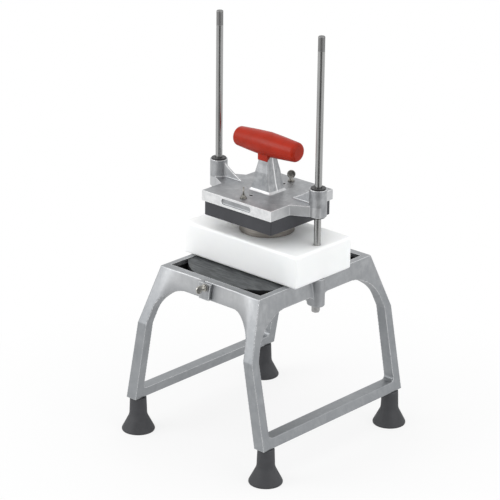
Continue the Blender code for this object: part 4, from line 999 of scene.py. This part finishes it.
def blade_cup():
    """The ring, with a rolled lip and a shallow groove under it, and the core tube and blades inside."""
    inner = CUP_RADIUS - CUP_WALL
    groove = CUP_RADIUS - CUP_GROOVE_DEPTH
    lip = CUP_HIGH.z - CUP_LIP
    groove_end = lip - CUP_GROOVE_WIDTH
    show_turned("blade_cup", [
        (inner, CUP_HIGH.z, 0.0003), (CUP_RADIUS, CUP_HIGH.z, 0.0005), (CUP_RADIUS, lip, 0.0002),
        (groove, lip - CUP_GROOVE_SLOPE, 0.0002), (groove, groove_end + CUP_GROOVE_SLOPE, 0.0002),
        (CUP_RADIUS, groove_end, 0.0002), (CUP_RADIUS, CUP_LOW.z), (inner, CUP_LOW.z)], CUP, sides=128)
    bore = CORE_RADIUS - CORE_WALL
    show_turned("blade_core", [(bore, CORE_HIGH.z), (CORE_RADIUS, CORE_HIGH.z, 0.0004),
                               (CORE_RADIUS, CORE_LOW.z), (bore, CORE_LOW.z)], BLADE)
    half = BLADE_THICKNESS / 2
    edge = BLADE_THICKNESS / 10
    shoulder = CORE_HIGH.z - 3 * BLADE_THICKNESS
    outline = [(-half, CORE_LOW.z), (half, CORE_LOW.z), (half, shoulder), (edge, CORE_HIGH.z),
               (-edge, CORE_HIGH.z), (-half, shoulder)]
    for number in range(BLADE_COUNT):
        shape = prism(outline, CORE_RADIUS + GAP, inner - GAP, "X")
        shape.transform(Matrix.Rotation(2 * math.pi * number / BLADE_COUNT, 4, "Z"))
        show("blade_%d" % (number + 1), shape, BLADE)


# Head

def plate_outline():
    quarter = [(PLATE_HALF_X, PLATE_HALF_Y), (PLATE_HALF_X, ARM_KINK_Y), (ROD_X - ARM_END_INSET, ARM_END_Y)]
    right = [(x, -y) for x, y in quarter] + quarter[::-1]
    return right + [(-x, -y) for x, y in right]


def post(clearance=0.0, first=0):
    """The flared post, or the space it needs in the grip."""
    rings = []
    for height, half_x, half_y in POST_SECTIONS[first:]:
        lift = clearance if height == POST_SECTIONS[-1][0] else 0.0
        outline = rounded_rectangle(half_x + clearance, half_y + clearance, POST_CORNER)
        rings.append([(x, y, PLATE_TOP + height + lift) for x, y in outline])
    return loft(rings)


def post_ridge(sign):
    """The parting ridge down the middle of the post's left or right face, up to the grip."""
    rings = []
    for height, half_x, _ in POST_SECTIONS[1:6]:
        inner = sign * (half_x - 2 * POST_RIDGE_HEIGHT)
        outer = sign * (half_x + POST_RIDGE_HEIGHT)
        corners = ((inner, -1), (outer, -1), (outer, 1), (inner, 1))
        rings.append([(x, side * POST_RIDGE_WIDTH, PLATE_TOP + height) for x, side in corners])
    return loft(rings)


def gusset(sign):
    """A web between the plate and a rod boss, with a slightly hollow top and a nub at the boss."""
    shoulder = ROD_X - HEAD_BOSS_RADIUS + GUSSET_THICKNESS / 2
    outer = ROD_X - GUSSET_OVERLAP
    low = PLATE_TOP - GUSSET_THICKNESS
    high = HEAD_BOSS_TOP - GUSSET_TOP_DROP
    foot_z = PLATE_TOP + 2 * GAP
    steps = 10
    outline = [(GUSSET_REACH, low), (outer, low), (outer, high)]
    for step in range(steps + 1):
        share = step / steps
        sag = GUSSET_HOLLOW * math.sin(math.pi * share)
        outline.append((shoulder + (GUSSET_REACH - shoulder) * share, high + (foot_z - high) * share - sag))
    return prism([(sign * x, z) for x, z in outline], -GUSSET_THICKNESS / 2, GUSSET_THICKNESS / 2, "Y")


def plate_slot(sign):
    """The shallow slot in the plate's front or back face."""
    centre = PLATE_TOP - SLOT_BELOW_TOP
    radius = SLOT_HEIGHT / 2
    straight = SLOT_HALF_LENGTH - radius
    outline = arc(straight, centre, radius, -90, 90, 14) + arc(-straight, centre, radius, 90, 270, 14)
    low, high = sorted((sign * (PLATE_HALF_Y - SLOT_DEPTH), sign * (PLATE_HALF_Y + CUT_PAST)))
    return prism(outline, low, high, "Y")


def head_casting():
    """Plate with its pocket, ribs and slots, arms, rod bosses, gussets, post and cross bar."""
    pocket = prism(rounded_rectangle(PLATE_HALF_X - PLATE_WALL, PLATE_HALF_Y - PLATE_WALL, PLATE_WALL),
                   PLATE_BOTTOM - CUT_PAST, PLATE_TOP - PLATE_WALL)
    plate = prism(plate_outline(), PLATE_BOTTOM, PLATE_TOP)
    plate = booleans(plate, [pocket, plate_slot(-1), plate_slot(1)])
    inside_top = PLATE_TOP - PLATE_WALL / 3
    bar = cylinder(CROSS_BAR_RADIUS, -CROSS_BAR_HALF_LENGTH, CROSS_BAR_HALF_LENGTH)
    bar.transform(ALONG_X_AT_GRIP)
    rib_end = PLATE_HALF_X - PLATE_WALL / 2
    solids = [plate, post(), bar, cylinder(HUB_RADIUS, PLATE_BOTTOM, inside_top),
              box((-rib_end, -PLATE_RIB / 2, PLATE_BOTTOM), (rib_end, PLATE_RIB / 2, inside_top))]
    cuts = []
    for sign in (-1, 1):
        solids += [cylinder(HEAD_BOSS_RADIUS, PLATE_BOTTOM, HEAD_BOSS_TOP, sign * ROD_X, sides=72),
                   gusset(sign), post_ridge(sign),
                   cylinder(SCREW_BOSS_RADIUS, PLATE_BOTTOM, inside_top, 0.0, sign * THUMB_Y),
                   cylinder(PIN_BOSS_RADIUS, PLATE_BOTTOM, inside_top, 0.0, sign * DOWEL_Y)]
        for radius, x, y in ((BUSH_SLEEVE_RADIUS, ROD_X, 0.0), (THUMB_SHANK_RADIUS, 0.0, THUMB_Y),
                             (DOWEL_RADIUS, 0.0, DOWEL_Y)):
            cuts.append(cylinder(radius + GAP, PLATE_BOTTOM - CUT_PAST, HEAD_BOSS_TOP + CUT_PAST,
                                 sign * x, sign * y))
    skin = booleans(cast_skin(solids, HEAD_VOXEL, 3), cuts, solver="MANIFOLD")
    show("head_casting", skin, HEAD_CAST, "head", SKIN_SHARP)


def grip():
    """The barrel with its two skirts in one skin, hollow for the cross bar and the post."""
    turn_in = GRIP_HALF_LENGTH - GRIP_END_ROUND
    half = [(0.0, GRIP_HALF_LENGTH)]
    half += arc(GRIP_END_RADIUS - GRIP_END_ROUND, turn_in, GRIP_END_ROUND, 90, 0, 10)
    steps = 14
    for step in range(1, steps):
        share = 1.0 - step / steps
        half.append((GRIP_RADIUS - (GRIP_RADIUS - GRIP_END_RADIUS) * share ** GRIP_CROWN, turn_in * share))
    profile = half + [(GRIP_RADIUS, 0.0)] + [(radius, -along) for radius, along in reversed(half)]
    barrel = lathe(profile, 72)
    barrel.transform(ALONG_X_AT_GRIP)
    solids = [barrel]
    for sign in (-1, 1):
        low, high = sorted((sign * SKIRT_INNER_Y, sign * SKIRT_OUTER_Y))
        solids.append(box((-SKIRT_HALF_X, low, GRIP_Z - SKIRT_BELOW_AXIS),
                          (SKIRT_HALF_X, high, GRIP_Z - GRIP_RADIUS / 3)))
    bar_end = CROSS_BAR_HALF_LENGTH + GAP
    bar_space = cylinder(CROSS_BAR_RADIUS + GAP, -bar_end, bar_end)
    bar_space.transform(ALONG_X_AT_GRIP)
    skin = booleans(cast_skin(solids, HEAD_VOXEL, 5), [bar_space, post(GAP, 4)], solver="MANIFOLD")
    show("grip", skin, GRIP, "head", GRIP_SHARP)


def bushing(side, sign, level):
    """A flanged sleeve whose flange lies outside the boss, above it or below it."""
    face, out = {"upper": (HEAD_BOSS_TOP + GAP, 1.0), "lower": (PLATE_BOTTOM - GAP, -1.0)}[level]
    flange_end = face + out * BUSH_FLANGE_THICKNESS
    sleeve_end = face - out * BUSH_LENGTH
    show_turned("bushing_%s_%s" % (side, level), [
        (ROD_BORE, flange_end), (BUSH_FLANGE_RADIUS, flange_end, 0.0005), (BUSH_FLANGE_RADIUS, face),
        (BUSH_SLEEVE_RADIUS, face), (BUSH_SLEEVE_RADIUS, sleeve_end), (ROD_BORE, sleeve_end)],
                BLACK, "head", (sign * ROD_X, 0, 0))


def finger(number):
    """One plunger finger: a sector that passes between two blades."""
    sector = 2 * math.pi / BLADE_COUNT
    middle = sector * (number + 0.5)
    inner = CORE_RADIUS + FINGER_CLEARANCE
    outer = CUP_RADIUS - CUP_WALL - FINGER_CLEARANCE
    side = BLADE_THICKNESS / 2 + FINGER_CLEARANCE
    half_inner = sector / 2 - math.asin(side / inner)
    half_outer = sector / 2 - math.asin(side / outer)
    outline = arc(0, 0, inner, math.degrees(middle + half_inner), math.degrees(middle - half_inner), 4)
    outline += arc(0, 0, outer, math.degrees(middle - half_outer), math.degrees(middle + half_outer), 14)
    return prism(outline, PLUNGER_LOW.z, PLUNGER_BOTTOM + PLUNGER_CORNER)


def plunger():
    outline = rounded_rectangle(PLUNGER_HALF_X, PLUNGER_HALF_Y, PLUNGER_CORNER)
    block = bevelled(prism(outline, PLUNGER_BOTTOM, PLUNGER_TOP), PLUNGER_EDGE, 3, 50)
    shape = booleans(block, [finger(number) for number in range(BLADE_COUNT)], "UNION")
    high = PLUNGER_TOP + CUT_PAST
    insert_low = PLUNGER_TOP - INSERT_LENGTH - 2 * GAP
    dowel_low = PLUNGER_TOP - DOWEL_LENGTH / 2 - GAP
    cuts = []
    for sign in (-1, 1):
        cuts.append(cylinder(INSERT_RADIUS + GAP, insert_low, high, 0.0, sign * THUMB_Y))
        cuts.append(cylinder(DOWEL_RADIUS + GAP, dowel_low, high, 0.0, sign * DOWEL_Y))
    show("plunger", booleans(shape, cuts), PLUNGER, "head")


def insert_and_dowel(end, sign):
    bore = THUMB_SHANK_RADIUS + GAP
    top = PLUNGER_TOP - GAP
    low = top - INSERT_LENGTH
    show_turned("plunger_insert_" + end, [
        (bore, top, 0.0002), (INSERT_RADIUS, top, 0.0003), (INSERT_RADIUS, low, 0.0003), (bore, low)],
                BRASS, "head", (0, sign * THUMB_Y, 0))
    low = PLUNGER_TOP - DOWEL_LENGTH / 2
    top = low + DOWEL_LENGTH
    show_turned("dowel_pin_" + end, [
        (0.0, top), (DOWEL_RADIUS, top, 0.0004), (DOWEL_RADIUS, low, 0.0004), (0.0, low)],
                DOWEL, "head", (0, sign * DOWEL_Y, 0))


# Thumb screws

def thumb_screw(node, shank_length, body, place, finish):
    """A thumb screw along +Z whose flange rests on z = 0, with a dished paddle, moved to its place."""
    top = THUMB_FLANGE_THICKNESS
    stem = turned([
        (0.0, top + THUMB_NECK_HEIGHT), (THUMB_NECK_RADIUS, top + THUMB_NECK_HEIGHT),
        (THUMB_NECK_RADIUS + THUMB_NECK_FLARE, top, 0.0006), (THUMB_FLANGE_RADIUS, top, 0.0006),
        (THUMB_FLANGE_RADIUS, 0.0, 0.0002), (THUMB_SHANK_RADIUS, 0.0),
        (THUMB_SHANK_RADIUS, -shank_length, 0.0004), (0.0, -shank_length)], 48)
    side = [(THUMB_PADDLE_RADIUS * across, THUMB_PADDLE_HALF * rise, reach)
            for across, rise, reach in PADDLE_PROFILE]
    paddle = turned(side + [(radius, -height, reach) for radius, height, reach in reversed(side)], 48)
    paddle.transform(Matrix.Translation((0, 0, THUMB_PADDLE_CENTRE))
                     @ Matrix.Rotation(QUARTER_TURN, 4, "X"))
    shape = booleans(stem, [paddle], "UNION")
    shape.transform(place)
    show(node, shape, finish, body)


def thumb_screws(end, sign):
    """The thumb screw in the head's plate and the one in the frame's lap, at the front or the back."""
    reach = PLATE_TOP - PLATE_BOTTOM + 2 * GAP + INSERT_LENGTH
    place = Matrix.Translation((0.0, sign * THUMB_Y, PLATE_TOP + GAP))
    thumb_screw("thumb_screw_" + end, reach, "head_screw_" + end,
                place @ Matrix.Rotation(THUMB_TURNS[end], 4, "Z"), THUMB)
    face = EAR_FACE_Y + 2 * GAP + WASHER_THICKNESS
    place = at_lap(sign, face, -sign) @ Matrix.Rotation(QUARTER_TURN, 4, "Z")
    thumb_screw("frame_thumb_screw_" + end, face - OPENING_HALF_Y - GAP, "lap_screw_" + end, place,
                FRAME_THUMB)


ENDS = (("front", -1), ("back", 1))

frame_half("right", 0.0)
frame_half("left", math.pi)
board()
catch_tray()
blade_cup()
head_casting()
grip()
plunger()
for end_name, end_sign in ENDS:
    thumb_screws(end_name, end_sign)
for end_name, end_sign in ENDS:
    washer(end_name, end_sign)
    insert_and_dowel(end_name, end_sign)
for side_name, side_sign in (("left", -1), ("right", 1)):
    guide_rod(side_name, side_sign)
    rod_screw(side_name, side_sign)
    bushing(side_name, side_sign, "upper")
    bushing(side_name, side_sign, "lower")
    for end_name, end_sign in ENDS:
        foot(end_name, side_name, (side_sign * FOOT_X, end_sign * FOOT_Y, 0.0))


# Table, light and camera

def table_white():
    """White to the camera, but for the shadow near the object. Metal mirrors a dark side of the room."""
    made = Shader("table_white")
    made.set("Roughness", 0.7)
    made.set("Specular IOR Level", 0.1)
    distance = made.vector("LENGTH", "Value", made.place)
    heading = made.vector("NORMALIZE", "Vector", made.place)
    towards_dark = made.vector("DOT_PRODUCT", "Value", heading, DARK_HEADING)
    dark_side = made.times(made.spread(towards_dark, *DARK_TURN), made.spread(distance, *DARK_DISTANCE))
    made.set("Base Color", made.blend(dark_side, TABLE_PAINT, DARK_PAINT))
    lift = made.spread(distance, *SHADOW_DISTANCE, SHADOW_LIFT, 1.0)
    bright_side = made.calculate("SUBTRACT", 1.0, dark_side)
    mirrored = made.times(made.add("LightPath", "Is Glossy Ray"), bright_side)
    seen = made.calculate("MAXIMUM", made.add("LightPath", "Is Camera Ray"), mirrored)
    mixed = made.add("MixShader", "Shader", {0: made.times(seen, lift), 1: made.principled.outputs["BSDF"],
                                             2: made.add("Emission", "Emission")})
    made.feed(made.tree.nodes["Material Output"].inputs["Surface"], mixed)
    return made.material


def table():
    shape = bmesh.new()
    bmesh.ops.create_grid(shape, x_segments=1, y_segments=1, size=TABLE_HALF_SIZE)
    mesh = mesh_from("table", shape)
    mesh.materials.append(table_white())
    linked("table", mesh)


def area_lamp(name, place, size, power):
    """A soft square lamp aimed at the middle of the object."""
    data = bpy.data.lights.new(name, "AREA")
    data.size = size
    data.energy = power
    lamp = linked(name, data)
    lamp.location = place
    lamp.rotation_euler = (LAMP_AIM - Vector(place)).to_track_quat("-Z", "Y").to_euler()


def white_world():
    """White to the camera, in reflections and through glass, and softer as a light."""
    world = bpy.data.worlds.new("studio")
    world.use_nodes = True
    bpy.context.scene.world = world
    made = Nodes(world.node_tree)
    seen = made.add("LightPath", "Is Camera Ray")
    for ray in ("Is Transmission Ray", "Is Glossy Ray"):
        seen = made.calculate("MAXIMUM", seen, made.add("LightPath", ray))
    background = world.node_tree.nodes["Background"]
    made.feed(background.inputs["Color"], (1.0, 1.0, 1.0))
    made.feed(background.inputs["Strength"], made.spread(seen, 0.0, 1.0, WORLD_LIGHT, 1.0))


def photo_camera():
    """The target stands off the Z axis, and the camera looks at it from its distance."""
    data = bpy.data.cameras.new("photo_camera")
    data.sensor_width = SENSOR_WIDTH
    data.lens = FOCAL_PIXELS / PHOTO_SIZE * SENSOR_WIDTH
    data.clip_end = 50.0
    camera = linked("photo_camera", data)
    camera.matrix_world = (
        Matrix.Translation((0, 0, CAMERA_TARGET_HEIGHT)) @ Matrix.Rotation(CAMERA_AZIMUTH, 4, "Z")
        @ Matrix.Translation((CAMERA_TARGET_SIDE, 0, 0))
        @ Matrix.Rotation(QUARTER_TURN - CAMERA_ELEVATION, 4, "X")
        @ Matrix.Rotation(CAMERA_ROLL, 4, "Z") @ Matrix.Translation((0, 0, CAMERA_DISTANCE)))
    bpy.context.scene.camera = camera


table()
white_world()
for lamp_name, lamp_place, lamp_size, lamp_power in LAMPS:
    area_lamp(lamp_name, lamp_place, lamp_size, lamp_power)
photo_camera()
bpy.context.scene.view_settings.view_transform = "Standard"
